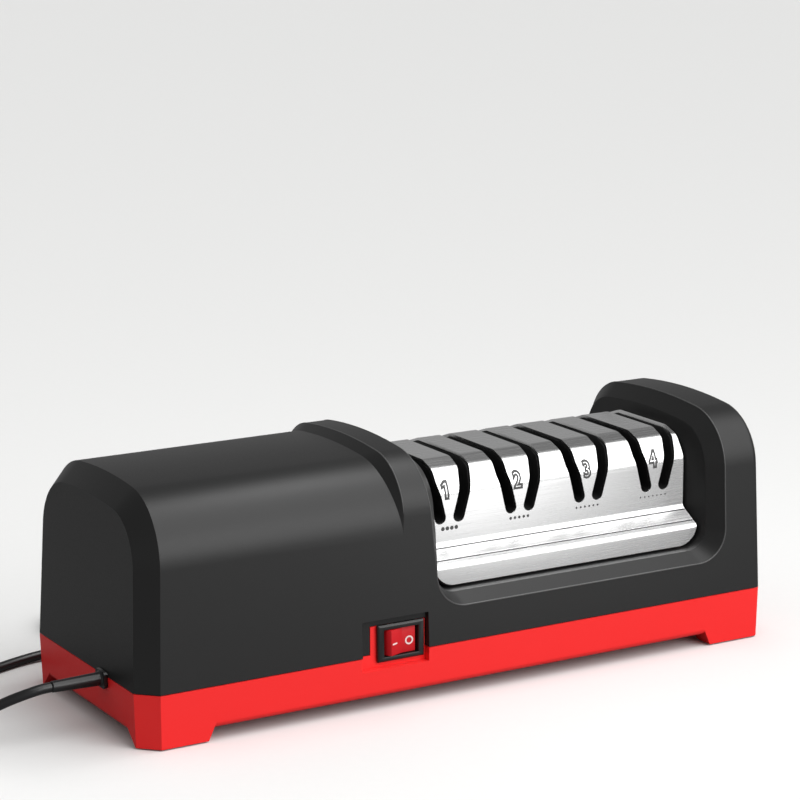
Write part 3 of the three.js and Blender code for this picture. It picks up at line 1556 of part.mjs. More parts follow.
const drive = group('drive');
place('spindle_shaft', makeShaft(), finishes.steel, drive);
place('spindle_bearing_left', makeBearing(leftBearing), finishes.steel, drive);
place('spindle_bearing_right', makeBearing(rightBearing), finishes.steel, drive);
place('bearing_cap_left', makePillowCap(leftBearing), finishes.blackPlastic, drive);
place('bearing_cap_right', makePillowCap(rightBearing), finishes.blackPlastic, drive);
stageCentres.forEach((centre, i) => {
  const stage = `stage_${i + 1}`;
  place(`${stage}_hub`, makeHub(centre), finishes.nylon, drive);
  place(`${stage}_disc_left`, makeDisc(centre, -1), finishes.diamond, drive);
  place(`${stage}_disc_right`, makeDisc(centre, 1), finishes.diamond, drive);
  place(`${stage}_spring`, makeSpring(centre), finishes.steel, drive);
});
const motorHalf = makeCouplingHalf(couplingLeft, 1, motor.shaftRadius + touch);
const spindleHalf = makeCouplingHalf(couplingRight, -1, spindle.shaftRadius + touch);
place('coupling_motor_half', motorHalf, finishes.nylon, drive);
place('coupling_spider', makeSpider(), finishes.rubber, drive);
place('coupling_spindle_half', spindleHalf, finishes.nylon, drive);

const motorGroup = group('motor');
place('motor_can', makeMotorCan(), finishes.zincPlate, motorGroup);
place('field_magnet_upper', makeMagnet(1), finishes.ferrite, motorGroup);
place('field_magnet_lower', makeMagnet(-1), finishes.ferrite, motorGroup);
place('motor_end_cap', makeEndCap(), finishes.nylon, motorGroup);
place('carbon_brush_front', makeBrush(-1), finishes.carbon, motorGroup);
place('carbon_brush_rear', makeBrush(1), finishes.carbon, motorGroup);
place('motor_shaft', makeMotorShaft(), finishes.steel, motorGroup);
place('armature', makeArmature(), finishes.copper, motorGroup);
place('commutator', makeCommutator(), finishes.copper, motorGroup);
place('cooling_fan', makeFan(), finishes.nylon, motorGroup);
place('motor_ring_left', makeMotorRing(cradlePlaces[0]), finishes.rubber, motorGroup);
place('motor_ring_right', makeMotorRing(cradlePlaces[1]), finishes.rubber, motorGroup);
place('motor_strap', makeStrap(), finishes.zincPlate, motorGroup);
place('rectifier_board', makeBoard(), finishes.board, motorGroup);

const controls = group('controls');
place('switch_body', makeSwitchBody(), finishes.blackPlastic, controls);
place('switch_rocker', makeRocker(), finishes.redLens, controls);

const cord = group('mains_lead');
place('strain_relief', makeRelief(), finishes.vinyl, cord);
place('cord_clamp', makeClamp(), finishes.nylon, cord);
place('cord_lead', makeLead(), finishes.vinyl, cord);
place('cord_coil', makeCoil(), finishes.vinyl, cord);
place('cord_tie', makeTie(), finishes.vinyl, cord);
place('plug_body', makePlug(), finishes.vinyl, cord);
pinPlaces().forEach((y, i) => place(`plug_pin_${i + 1}`, makePin(y), finishes.steel, cord));

export default sharpener;
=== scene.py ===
"""Dressed scene of a four-stage electric knife sharpener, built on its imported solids."""
import json
import math
from types import SimpleNamespace as Sizes

import bpy
from bpy.props import FloatProperty, FloatVectorProperty, PointerProperty
from mathutils import Matrix, Vector


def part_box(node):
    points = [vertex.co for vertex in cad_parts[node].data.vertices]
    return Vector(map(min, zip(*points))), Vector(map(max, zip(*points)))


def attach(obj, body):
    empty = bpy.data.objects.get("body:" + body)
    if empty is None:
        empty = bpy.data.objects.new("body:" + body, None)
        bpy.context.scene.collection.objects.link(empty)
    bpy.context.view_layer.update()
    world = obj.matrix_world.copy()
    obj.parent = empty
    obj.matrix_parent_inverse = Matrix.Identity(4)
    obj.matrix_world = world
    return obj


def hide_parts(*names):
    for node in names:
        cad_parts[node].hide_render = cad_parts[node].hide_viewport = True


bl_info = {
    "name": "Electric Knife Sharpener",
    "version": (1, 0, 0),
    "blender": (4, 5, 0),
    "location": "3D View > Sidebar > Sharpener",
    "description": "Builds the outside, the drive and the studio of a knife sharpener",
    "category": "Object",
}

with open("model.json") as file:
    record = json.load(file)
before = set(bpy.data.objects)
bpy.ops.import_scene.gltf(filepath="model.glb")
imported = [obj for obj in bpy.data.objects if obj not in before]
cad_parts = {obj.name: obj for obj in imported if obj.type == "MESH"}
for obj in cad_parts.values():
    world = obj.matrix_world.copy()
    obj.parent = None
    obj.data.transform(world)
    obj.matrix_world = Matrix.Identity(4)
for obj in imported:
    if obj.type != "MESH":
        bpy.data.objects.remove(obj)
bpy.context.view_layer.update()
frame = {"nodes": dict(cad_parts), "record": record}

# Sizes, in millimetres as in the part's source

MM = 0.001
DEGREE = math.pi / 180
OVERRUN = 2
TOUCH = 0.3

CASING = Sizes(
    length=288, depth=105, parting=22.05, wall=2.5, crown=240, block_crest=97.5,
    block_shoulder=28.6, arch_crest=99.9, arch_shoulder=24, chamfer=7.6, end_round=2.65,
    side_draft=2.7 * DEGREE, left_draft=2.6 * DEGREE, right_draft=0.8 * DEGREE,
    lip=1.1, lip_height=2.4, boss=4, bore=1.7, boss_side=32, boss_left=14, boss_right=12,
    screw_length=14, base_inset=0.6,
)
SADDLE = Sizes(
    left=-12.4, right=119.9, floor=40.9, corner=9, rim_floor=36.6, rim_corner=13.5,
    rim_right=6, rim_left=1.9, rim_lean=0.08, bevel=6, window_end=4, window_side=35,
)
COLLAR = Sizes(
    width=15, land=0.6, span=4.6, slope_start=71, bead=0.32, bead_sunk=0.18, bead_end=44,
)
COVER = Sizes(
    left=-9.6, right=118.9, top=88.7, sheet=1, flat_half=17, facet_half=24.5, facet_z=86,
    face_half=30, face_z=78, ledge_z=56, skirt_half=40.5, skirt_z=49.9, bottom=41.9, corner=9,
    bends=(7, 7, 11, -2, 2.4, 0), least_bend=0.5, groove=0.44, groove_depth=0.4,
    # A thin grey strip lies at each groove's bottom as painted shade
    grooves=(2, 8.7), groove_ink=0.06, groove_clear=(1.2, 0.4),
)
SLOT = Sizes(
    width=4.9, lip=0.2, spread=0.3,
    paths={-1: ((-4.9, 67), (-8.2, 80.5), (-8, 97)), 1: ((3.9, 67), (10, 88.7), (12.3, 97))},
)
STAGE_PITCH = 33.3
GUIDE = Sizes(wall=2, channel_wall=1.4, shaft_gap=2, floor=41.2)
DISC = Sizes(radius=24, face=3.4, thickness=1.6, edge=0.4, bore=5.3, band=9)
SPRING = Sizes(wire=0.8, inner=7, outer=10, turns=2)
RAIL = Sizes(
    bottom=5, turn=3, top=13.4, wall=50.4, seat=8.6, depth=6, proud=0.02, foot_bottom=0.6,
    foot_left=30.6, foot_right=28.7, foot_depth=15.5,
)
AXIS_Z = 46
SHAFT_RADIUS = 4
POCKET = Sizes(left=-49.5, right=-19.5, top=36.5, depth=3.2)
PANEL = Sizes(left=-44.5, right=-19.8, top=33.4)
SWITCH = Sizes(
    x=-31.4, z=26.2, half=7.5, height=10.4, pivot=4.4, proud=0.9, back=2.6,
    throw=11 * DEGREE, bezel=1.6,
)
# The rocker's ring and bar, from its middle along and up one wing
MARKS = Sizes(ring=(3.2, -0.4), ring_radii=(1.15, 1.8), bar=(2.9, 5.7, -0.75, -0.1), film=0.03)
GLAND = Sizes(
    y=-17.4, z=20.7, neck=(7.4, 5.2), flange=(8.2, 6.8), flange_thickness=1.2, length=20,
    root=2.7, tip=2.2, tail=12, tail_radius=2.2,
)
COIL = Sizes(x=-82, y=106, inner=16.5, pitch=4.5, turns=3, lift=1.15, tail=22)
LEAD_RADIUS = 2
PLUG = Sizes(
    neck=17, body=36, half_thickness=6.8, shoulder=5, pin_radius=2, pin_length=19,
    pin_spacing=18.8, pin_seat=6, sleeve_end=10, sleeve_sunk=0.15, clearance=0.05,
)
TIE = Sizes(thickness=0.8, width=6, gap=0.3)
PAD = Sizes(half_length=8, half_width=2.5, corner=1.6, top=1.8)
SCREW = Sizes(
    head=2.4, head_radius=3.5, neck=1.6, pitch=0.7, root=1.3, crest=1.65, tip=1.3,
    cross=1.9, cross_half=0.45, cross_depth=1.5,
)
DIGIT = Sizes(narrow=0.84, line=0.055, spread=0.03, film=0.05, thick=0.02,
              shifts=(-2.8, -1.6, -0.9, -0.9))
# The digit 1 is drawn with a flag, which the font's figure lacks; in the font's own units
FIGURE_ONE = [(0, 0.46), (0, 0.57), (0.2, 0.7), (0.34, 0.7), (0.34, 0), (0.17, 0), (0.17, 0.52)]
# A row of dots for each stage's grit, coarse to fine
DOTS = Sizes(z=62.3, shift=-1, pitch=2.1, radii=(0.85, 0.62, 0.46, 0.32), counts=(4, 5, 6, 7),
             film=0.03, sunk=0.01)
# The free lead, from the strain relief's tip round the casing's left end to the coil
LEAD_ROUTE = [
    (-165.9, -17.4, 20.7), (-169.9, -17.4, 20.5), (-175, -16.6, 19.4), (-181, -13.8, 17),
    (-186.2, -9.2, 13.5), (-190, -2.8, 9.8), (-192.2, 5, 6.4), (-192.8, 14, 3.8),
    (-192, 24, 2.3), (-189.4, 34, 2.05), (-184.8, 43.4, 2.05), (-178.4, 51.8, 2.05),
    (-170.2, 59.2, 2.05), (-160.6, 65.4, 2.05), (-149.8, 70.2, 2.1), (-138.2, 73.8, 2.3),
    (-126, 75.6, 2.7), (-114, 76, 3.0), (-102, 76, 3.15), (-90, 76, 3.15), (-86.3, 76, 3.15),
]

LEFT, RIGHT = -CASING.length / 2, CASING.length / 2
HALF = CASING.depth / 2
SHELL_BOTTOM = CASING.parting + TOUCH / 2
STAGES = [54.45 + (i - 1.5) * STAGE_PITCH for i in range(4)]
POCKET_FACE = -(HALF - POCKET.depth)
BEZEL_FACE = POCKET_FACE - TOUCH - SWITCH.bezel
BOSSES = [(x, side * CASING.boss_side) for x in (LEFT + CASING.boss_left, RIGHT - CASING.boss_right)
          for side in (-1, 1)]


def linear(code):
    """An sRGB hex code as a linear colour."""
    parts = [int(code[i:i + 2], 16) / 255 for i in (1, 3, 5)]
    return tuple(p / 12.92 if p <= 0.04045 else ((p + 0.055) / 1.055) ** 2.4 for p in parts)


# What a user would change


class SharpenerColours(bpy.types.PropertyGroup):
    casing: FloatVectorProperty(
        name="Casing", description="Moulded colour of the upper housing", subtype="COLOR",
        default=linear("#1b1b1b"), min=0, max=1)
    base: FloatVectorProperty(
        name="Base", description="Moulded colour of the base and its feet", subtype="COLOR",
        default=linear("#ff2424"), min=0, max=1)
    steel: FloatVectorProperty(
        name="Cover", description="Colour of the brushed steel cover", subtype="COLOR",
        default=linear("#dcdcdc"), min=0, max=1)
    rocker: FloatVectorProperty(
        name="Rocker", description="Colour of the switch's rocker", subtype="COLOR",
        default=linear("#c80514"), min=0, max=1)
    # This grey also lies in the ledge grooves as painted shade
    marks: FloatVectorProperty(
        name="Marks", description="Ink of the stage numbers", subtype="COLOR",
        default=linear("#4a4a4a"), min=0, max=1)
    floor: FloatVectorProperty(
        name="Floor", description="Plain studio floor", subtype="COLOR",
        default=linear("#e7e7e6"), min=0, max=1)


class SharpenerSizes(bpy.types.PropertyGroup):
    edge: FloatProperty(
        name="Edge radius", description="Radius on the casing's moulded ridges",
        default=0.6 * MM, min=0.1 * MM, max=1 * MM, subtype="DISTANCE", unit="LENGTH")
    grain: FloatProperty(
        name="Grain", description="Width of the casing's eroded grain",
        default=0.5 * MM, min=0.1 * MM, max=2 * MM, subtype="DISTANCE", unit="LENGTH")
    digit: FloatProperty(
        name="Digit height", description="Height of the stage numbers on the cover",
        default=7.7 * MM, min=4 * MM, max=12 * MM, subtype="DISTANCE", unit="LENGTH")
    lens: FloatProperty(
        name="Lens", description="Focal length of the studio camera", default=122.4,
        min=50, max=200, subtype="DISTANCE_CAMERA", unit="CAMERA")


def colours():
    return bpy.context.scene.sharpener_colours


def sizes():
    return bpy.context.scene.sharpener_sizes


# Outlines


def box_outline(u0, u1, v0, v1):
    return [(u0, v0), (u1, v0), (u1, v1), (u0, v1)]


def rounded(points, radii, steps=8, closed=True):
    """An outline whose corners are rounded by arcs."""
    result = []
    count = len(points)
    for i, (u, v) in enumerate(points):
        radius = radii[i] if isinstance(radii, (list, tuple)) else radii
        if not radius or (not closed and i in (0, count - 1)):
            result.append((u, v))
            continue
        corner = Vector((u, v))
        before = Vector(points[i - 1]) - corner
        after = Vector(points[(i + 1) % count]) - corner
        half = before.angle(after) / 2
        reach = min(radius / math.tan(half), 0.49 * min(before.length, after.length))
        start = corner + before.normalized() * reach
        middle = (before.normalized() + after.normalized()).normalized()
        centre = corner + middle * (reach * math.tan(half) / math.sin(half))
        turn = math.pi - 2 * half
        way = math.copysign(1, before.x * after.y - before.y * after.x)
        for k in range(steps + 1):
            swing = Matrix.Rotation(-way * turn * k / steps, 2) @ (start - centre) + centre
            result.append((swing.x, swing.y))
    return result


def moved(points, distance):
    """An open path moved to its right-hand side, with its corners kept sharp."""
    normals = []
    for (u0, v0), (u1, v1) in zip(points, points[1:]):
        along = Vector((u1 - u0, v1 - v0)).normalized()
        normals.append(Vector((along.y, -along.x)))
    result = []
    for i, (u, v) in enumerate(points):
        mitre = normals[max(i - 1, 0)] + normals[min(i, len(normals) - 1)]
        mitre *= 2 * distance / mitre.length_squared
        result.append((u + mitre.x, v + mitre.y))
    return result


def section(crest, shoulder, inset, bottom, steps=(20, 8)):
    """The casing's section: drafted sides, round shoulders and a crowned top."""
    draft = CASING.side_draft
    along = Vector((-math.sin(draft), math.cos(draft)))
    crown = Vector((0, crest - CASING.crown))
    start = Vector((HALF - shoulder * math.cos(draft), CASING.parting - shoulder * math.sin(draft)))
    gap = start - crown
    across = gap.dot(along)
    left = gap.length_squared - (CASING.crown - shoulder) ** 2
    centre = start + along * (math.sqrt(across * across - left) - across)
    reach = math.atan2(centre.y - crown.y, centre.x - crown.x)
    drop = (bottom - CASING.parting) * math.sin(draft)
    half = [(HALF - (inset + drop) / math.cos(draft), bottom)]
    for k in range(steps[0] + 1):
        angle = draft + (reach - draft) * k / steps[0]
        half.append((centre.x + (shoulder - inset) * math.cos(angle),
                     centre.y + (shoulder - inset) * math.sin(angle)))
    for k in range(1, steps[1] + 1):
        angle = reach + (math.pi / 2 - reach) * k / steps[1]
        half.append(((CASING.crown - inset) * math.cos(angle),
                     crown.y + (CASING.crown - inset) * math.sin(angle)))
    half[-1] = (0, half[-1][1])
    return half + [(-y, z) for y, z in reversed(half[:-1])]


BLOCK = (CASING.block_crest, CASING.block_shoulder)
ARCH = (CASING.arch_crest, CASING.arch_shoulder)
ARCH_SHOULDER_Z = section(*ARCH, 0, 0)[1][1]


def station(x, form, inset, bottom, lean=0, steps=(20, 8)):
    points = section(*form, inset, bottom, steps)
    return [(x + lean * (z - CASING.parting), y, z) for y, z in points]


def casing_rings(inset, bottom, steps=(20, 8)):
    """Rings along the casing, from its chamfered left end to its rounded right end."""
    left_lean, right_lean = math.tan(CASING.left_draft), -math.tan(CASING.right_draft)
    corner = CASING.chamfer + inset * (math.sqrt(2) - 1)
    ridge = SADDLE.left - SADDLE.rim_left - COLLAR.width
    foot = []
    for y, z in section(*BLOCK, inset, bottom, steps):
        share = max(z - COLLAR.slope_start, 0) / (CASING.block_crest - COLLAR.slope_start)
        foot.append((ridge - COLLAR.land - COLLAR.span * share, y, z))
    rings = [
        station(LEFT + inset, BLOCK, corner, bottom, left_lean, steps),
        station(LEFT + corner, BLOCK, inset, bottom, left_lean, steps),
        station(LEFT + corner + 40, BLOCK, inset, bottom, 0, steps),
        foot,
        station(ridge, ARCH, inset, bottom, 0, steps),
    ]
    turn = max(CASING.end_round - inset, COVER.least_bend)
    for k in range(9):
        angle = math.pi / 2 * k / 8
        rings.append(station(RIGHT - inset - turn + turn * math.sin(angle), ARCH,
                             inset + turn * (1 - math.cos(angle)), bottom, right_lean, steps))
    return rings


def saddle_outline(grow, top, rim=False, steps=14):
    """The saddle from the front: its channel, or the outer ridge of its rim."""
    left, right, floor = SADDLE.left, SADDLE.right, SADDLE.floor
    radius, lean = SADDLE.corner, 0
    if rim:
        left, right, floor = left - SADDLE.rim_left, right + SADDLE.rim_right, SADDLE.rim_floor
        radius, lean = SADDLE.rim_corner, SADDLE.rim_lean
    left, right, floor, radius = left - grow, right + grow, floor - grow, radius + grow
    points = [(left - lean * (floor - SADDLE.floor), floor), (right, floor), (right, top),
              (left - lean * (top - SADDLE.floor), top)]
    return rounded(points, [radius, radius, 0, 0], steps)


def plan(inset, steps=6):
    """The casing's plan at the parting line, moved in by an inset."""
    chamfer = CASING.chamfer - inset * (2 - math.sqrt(2))
    left, right, deep = LEFT + inset, RIGHT - inset, HALF - inset
    turn = max(CASING.end_round - inset, COVER.least_bend)
    return rounded([
        (left + chamfer, -deep), (right, -deep), (right, deep), (left + chamfer, deep),
        (left, deep - chamfer), (left, -deep + chamfer),
    ], [0, turn, turn, 0, 0, 0], steps)


def cover_path(offset, steps=8, grooves=False):
    """The cover's section from its front skirt over its top to its rear skirt."""
    c = COVER
    half = [(c.flat_half, c.top), (c.facet_half, c.facet_z), (c.face_half, c.face_z),
            (c.face_half, c.ledge_z), (c.skirt_half, c.skirt_z), (c.skirt_half, c.bottom)]
    sharp = [(-y, z) for y, z in reversed(half)] + half
    bends = list(reversed(c.bends)) + list(c.bends)
    # A bend below 0 turns the other way, so its radius grows as the path moves in
    radii = [max(b - offset, c.least_bend) if b > 0 else abs(b) + (offset if b else 0)
             for b in bends]
    path = rounded(moved(sharp, offset), radii, steps, closed=False)
    if not grooves:
        return path
    slope = Vector((c.skirt_half - c.face_half, c.skirt_z - c.ledge_z)).normalized()
    inward = Vector((slope.y, -slope.x))
    cuts = []
    for distance in c.grooves:
        middle = Vector((c.face_half, c.ledge_z)) + slope * distance
        cuts.append([middle - slope * c.groove, middle + inward * c.groove_depth,
                     middle + slope * c.groove])
    front = [p for cut in reversed(cuts) for p in [(-q.x, q.y) for q in reversed(cut)]]
    rear = [tuple(p) for cut in cuts for p in cut]
    low, high = c.skirt_z + c.groove_clear[0], c.ledge_z - c.groove_clear[1]
    path = [(y, z) for y, z in path if not low < z < high]
    at_front = next(i for i, (y, z) in enumerate(path) if y < 0 and z >= high)
    path[at_front:at_front] = front
    at_rear = next(i for i, (y, z) in enumerate(path) if y > c.face_half + 1 and z < low)
    path[at_rear:at_rear] = rear
    return path


def skirt(gap, bottom, steps=10):
    left, right = COVER.left + gap, COVER.right - gap
    top = COVER.top + OVERRUN
    return rounded([(left, bottom), (right, bottom), (right, top), (left, top)],
                   [COVER.corner, COVER.corner, 0, 0], steps)


def slot_outline(centre, side, width, steps=12):
    """One knife slot seen from the front: a leaning strip with a round lower end."""
    path = [Vector((centre + u, z)) for u, z in SLOT.paths[side]]
    lean = (path[1] - path[0]).normalized()
    across = Vector((lean.y, -lean.x))
    radius = width / 2
    low = path[0]
    right, left = moved(path, radius), moved(path, -radius)
    end = []
    for k in range(steps + 1):
        angle = math.pi + math.pi * k / steps
        end.append(low + across * (radius * math.cos(angle)) + lean * (radius * math.sin(angle)))
    return left[:0:-1] + [(p.x, p.y) for p in end] + right[1:]


# Each slot's stage centre and side; the stages lie a little wider apart than their pitch
SLOTS = [(centre + (i - 1.6) * SLOT.spread, side)
         for i, centre in enumerate(STAGES) for side in (-1, 1)]


# Modelling


def deselect():
    if bpy.context.object and bpy.context.object.mode != "OBJECT":
        bpy.ops.object.mode_set(mode="OBJECT")
    bpy.ops.object.select_all(action="DESELECT")


def choose(piece):
    deselect()
    piece.select_set(True)
    bpy.context.view_layer.objects.active = piece
    return piece


def new_piece(name):
    piece = bpy.context.object
    piece.name = name
    piece.data.name = name
    return piece


def tidy(piece, merge=0.002 * MM, holes=False):
    """Merges doubles, closes the ends and turns the faces outwards."""
    choose(piece)
    bpy.ops.object.mode_set(mode="EDIT")
    bpy.ops.mesh.select_all(action="SELECT")
    bpy.ops.mesh.remove_doubles(threshold=merge)
    if holes:
        bpy.ops.mesh.select_all(action="SELECT")
        bpy.ops.mesh.fill_holes(sides=0)
    bpy.ops.mesh.select_all(action="SELECT")
    bpy.ops.mesh.normals_make_consistent(inside=False)
    bpy.ops.object.mode_set(mode="OBJECT")
    return piece


def skin(name, rings, holes=True):
    """A grid laid over rings of points, joined into a tube and closed at its ends."""
    around = len(rings[0])
    deselect()
    bpy.ops.mesh.primitive_grid_add(x_subdivisions=around, y_subdivisions=len(rings) - 1, size=2)
    piece = new_piece(name)
    for vertex in piece.data.vertices:
        column = round((vertex.co.x + 1) / 2 * around) % around
        row = round((vertex.co.y + 1) / 2 * (len(rings) - 1))
        vertex.co = Vector(rings[row][column]) * MM
    return tidy(piece, holes=holes)


AXES = {
    "x": lambda u, v, w: (w, u, v),
    "y": lambda u, v, w: (u, w, v),
    "z": lambda u, v, w: (u, v, w),
}


def prism(name, outline, axis, low, high):
    """A filled outline extruded along an axis."""
    deselect()
    bpy.ops.mesh.primitive_circle_add(vertices=len(outline), fill_type="NGON")
    piece = new_piece(name)
    for vertex, (u, v) in zip(piece.data.vertices, outline):
        vertex.co = Vector(AXES[axis](u, v, low)) * MM
    bpy.ops.object.mode_set(mode="EDIT")
    bpy.ops.mesh.select_all(action="SELECT")
    way = Vector(AXES[axis](0, 0, high - low)) * MM
    bpy.ops.mesh.extrude_region_move(TRANSFORM_OT_translate={"value": way})
    bpy.ops.object.mode_set(mode="OBJECT")
    return tidy(piece)


def block(name, xs, ys, zs):
    return prism(name, box_outline(*xs, *ys), "z", *zs)


def turned(name, profile, axis="x", centre=(0, 0, AXIS_Z), sides=64):
    """A profile of (along, radius) points turned about a line along an axis."""
    rings = []
    for k in range(sides + 1):
        angle = 2 * math.pi * k / sides
        c, s = math.cos(angle), math.sin(angle)
        ring = []
        for along, radius in profile:
            spot = {"x": (along, radius * c, radius * s), "y": (radius * c, along, radius * s),
                    "z": (radius * c, radius * s, along)}[axis]
            ring.append(tuple(a + b for a, b in zip(spot, centre)))
        rings.append(ring)
    return skin(name, rings, holes=False)


def rod(name, radius, low, high, axis="x", centre=(0, 0, AXIS_Z), sides=48):
    return turned(name, [(low, 0), (low, radius), (high, radius), (high, 0)], axis, centre, sides)


def tube(name, points, radius_at, sides=12):
    """A round tube along a line of points."""
    line = [Vector(p) for p in points]
    rings = []
    side = None
    for i, point in enumerate(line):
        along = (line[min(i + 1, len(line) - 1)] - line[max(i - 1, 0)]).normalized()
        if side is None:
            side = along.orthogonal().normalized()
        side = (side - along * side.dot(along)).normalized()
        other = along.cross(side)
        radius = radius_at(i / (len(line) - 1))
        rings.append([tuple(point + side * (radius * math.cos(2 * math.pi * k / sides))
                            + other * (radius * math.sin(2 * math.pi * k / sides)))
                      for k in range(sides)])
    return skin(name, rings)


def apply(piece, kind, **settings):
    choose(piece)
    modifier = piece.modifiers.new(kind.title(), kind)
    for name, value in settings.items():
        setattr(modifier, name, value)
    bpy.ops.object.modifier_apply(modifier=modifier.name)
    return piece


def cut(piece, *cutters, operation="DIFFERENCE"):
    for cutter in cutters:
        apply(piece, "BOOLEAN", object=cutter, operation=operation, solver="EXACT")
        bpy.data.objects.remove(cutter, do_unlink=True)
    return piece


def joined(name, pieces):
    deselect()
    for piece in pieces:
        piece.select_set(True)
    bpy.context.view_layer.objects.active = pieces[0]
    bpy.ops.object.join()
    return new_piece(name)


def soften(piece, width, angle=30, segments=2):
    """Rounds the ridges by a bevel."""
    return apply(piece, "BEVEL", width=width, segments=segments, limit_method="ANGLE",
                 angle_limit=angle * DEGREE, use_clamp_overlap=True, harden_normals=False,
                 miter_outer="MITER_ARC")


def smooth(piece, angle=28):
    choose(piece)
    bpy.ops.object.shade_smooth_by_angle(angle=angle * DEGREE)
    return piece


def copy_of(node):
    """A merged copy of a CAD node's mesh, for a piece that keeps its shape."""
    source = frame["nodes"][node]
    deselect()
    piece = bpy.data.objects.new(node + "_dressed", source.data.copy())
    bpy.context.scene.collection.objects.link(piece)
    piece.data.materials.clear()
    tidy(piece, merge=0.005 * MM)
    bpy.ops.object.mode_set(mode="EDIT")
    bpy.ops.mesh.select_all(action="SELECT")
    bpy.ops.mesh.dissolve_limited(angle_limit=0.4 * DEGREE)
    bpy.ops.object.mode_set(mode="OBJECT")
    return piece


def dress(piece, material, body, slot, *nodes):
    """Gives a finished piece its material and its body, and hides the nodes that it stands for."""
    piece.data.materials.clear()
    piece.data.materials.append(material)
    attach(piece, body)
    if nodes:
        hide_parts(*nodes)
    return piece


# Materials


def add(tree, kind, inputs=None, **settings):
    """Adds a node with its settings, its values and the sockets linked into it."""
    node = tree.nodes.new(kind)
    for name, value in settings.items():
        setattr(node, name, value)
    for name, value in (inputs or {}).items():
        if isinstance(value, bpy.types.NodeSocket):
            tree.links.new(value, node.inputs[name])
        else:
            node.inputs[name].default_value = value
    return node


def blank(name):
    old = bpy.data.materials.get(name)
    if old:
        return old, None, None
    material = bpy.data.materials.new(name)
    material.use_nodes = True
    tree = material.node_tree
    return material, tree, tree.nodes["Principled BSDF"]


def texture(tree, kind, size, stretch=(1, 1, 1), inputs=None, **settings):
    """A procedural texture on Object coordinates; size is its feature's width in metres."""
    where = add(tree, "ShaderNodeTexCoord")
    scale = [s / size for s in stretch]
    place = add(tree, "ShaderNodeMapping", {"Vector": where.outputs["Object"], "Scale": scale})
    inputs = {"Vector": place.outputs["Vector"], "Scale": 1.0, **(inputs or {})}
    return add(tree, kind, inputs, **settings)


def spread(tree, value, low, high, to_low, to_high):
    """A value's range, from low to high, laid over another range."""
    node = add(tree, "ShaderNodeMapRange", {"Value": value, "From Min": low, "From Max": high,
                                            "To Min": to_low, "To Max": to_high})
    return node.outputs["Result"]


def ramp(tree, noise, low, high):
    """A texture's usual range laid over low to high."""
    return spread(tree, noise, 0.25, 0.75, low, high)


def raised(tree, shader, height, depth):
    """Raises the surface by a texture, to a depth in metres."""
    bump = add(tree, "ShaderNodeBump", {"Height": height, "Distance": depth, "Strength": 1.0})
    tree.links.new(bump.outputs["Normal"], shader.inputs["Normal"])


def tint(tree, factor, colour, dark, light):
    """The colour made a little darker and lighter by a texture."""
    mix = add(tree, "ShaderNodeMix", {"Factor": factor}, data_type="RGBA")
    mix.inputs["A"].default_value = (*[c * dark for c in colour], 1)
    mix.inputs["B"].default_value = (*[min(c * light, 1) for c in colour], 1)
    return mix.outputs["Result"]


def moulded(name, colour, roughness, grain, depth, ior=1.5):
    """A moulded plastic: grain from the mould's surface, and slight shifts of colour and gloss."""
    material, tree, shader = blank(name)
    if not tree:
        return material
    fine = texture(tree, "ShaderNodeTexNoise", grain, inputs={"Detail": 3.0, "Roughness": 0.6})
    broad = texture(tree, "ShaderNodeTexNoise", 22 * MM, inputs={"Detail": 2.0})
    raised(tree, shader, fine.outputs["Fac"], depth)
    shade = tint(tree, broad.outputs["Fac"], colour, 0.97, 1.04)
    tree.links.new(shade, shader.inputs["Base Color"])
    tree.links.new(ramp(tree, fine.outputs["Fac"], roughness - 0.04, roughness + 0.05),
                   shader.inputs["Roughness"])
    shader.inputs["IOR"].default_value = ior
    return material


def brushed(name, colour, roughness, line=0.25 * MM, depth=0.004 * MM):
    """A metal brushed along X: long fine scratches that spread its highlights across them."""
    material, tree, shader = blank(name)
    if not tree:
        return material
    stretch = (0.012, 1, 1)
    lines = texture(tree, "ShaderNodeTexNoise", line, stretch, {"Detail": 2.0, "Roughness": 0.5})
    broad = texture(tree, "ShaderNodeTexNoise", line * 6, stretch, {"Detail": 1.0})
    raised(tree, shader, lines.outputs["Fac"], depth)
    shade = tint(tree, broad.outputs["Fac"], colour, 0.93, 1.0)
    tree.links.new(shade, shader.inputs["Base Color"])
    tree.links.new(ramp(tree, lines.outputs["Fac"], roughness - 0.05, roughness + 0.06),
                   shader.inputs["Roughness"])
    shader.inputs["Metallic"].default_value = 1.0
    return material


def sintered(name, colour, roughness, grit, depth, metallic=0.0):
    """A gritty surface: packed grains that catch the light one by one."""
    material, tree, shader = blank(name)
    if not tree:
        return material
    cells = texture(tree, "ShaderNodeTexVoronoi", grit)
    raised(tree, shader, cells.outputs["Distance"], depth)
    shade = tint(tree, cells.outputs["Distance"], colour, 0.8, 1.25)
    tree.links.new(shade, shader.inputs["Base Color"])
    shader.inputs["Roughness"].default_value = roughness
    shader.inputs["Metallic"].default_value = metallic
    return material


def black_abs():
    # ABS moulded in a spark-eroded tool: an even satin grain that spreads the highlight
    return moulded("Black ABS, eroded grain", colours().casing, 0.42, sizes().grain, 0.006 * MM,
                   1.42)


def polished_abs():
    # The beads on the moulded ridges: a paler black as a painted highlight, and glossier than the
    # grain beside them
    return moulded("Black ABS, painted ridge highlight", linear("#484848"), 0.34, 0.5 * MM, 0.001 * MM)


def red_abs():
    # ABS from a semi-polished tool: brighter and smoother than the casing, with a soft sheen
    return moulded("Red ABS, satin", colours().base, 0.38, 0.9 * MM, 0.003 * MM)


def cover_steel():
    # 1 mm stainless sheet brushed along its length; lines are drawn 0.25 mm wide so that they show
    return brushed("Brushed stainless steel", colours().steel, 0.24)


def guide_nylon():
    # Glass-filled nylon: dull and slightly rough, so that blades don't stick to it
    return moulded("Black glass-filled nylon", linear("#141414"), 0.5, 0.4 * MM, 0.006 * MM)


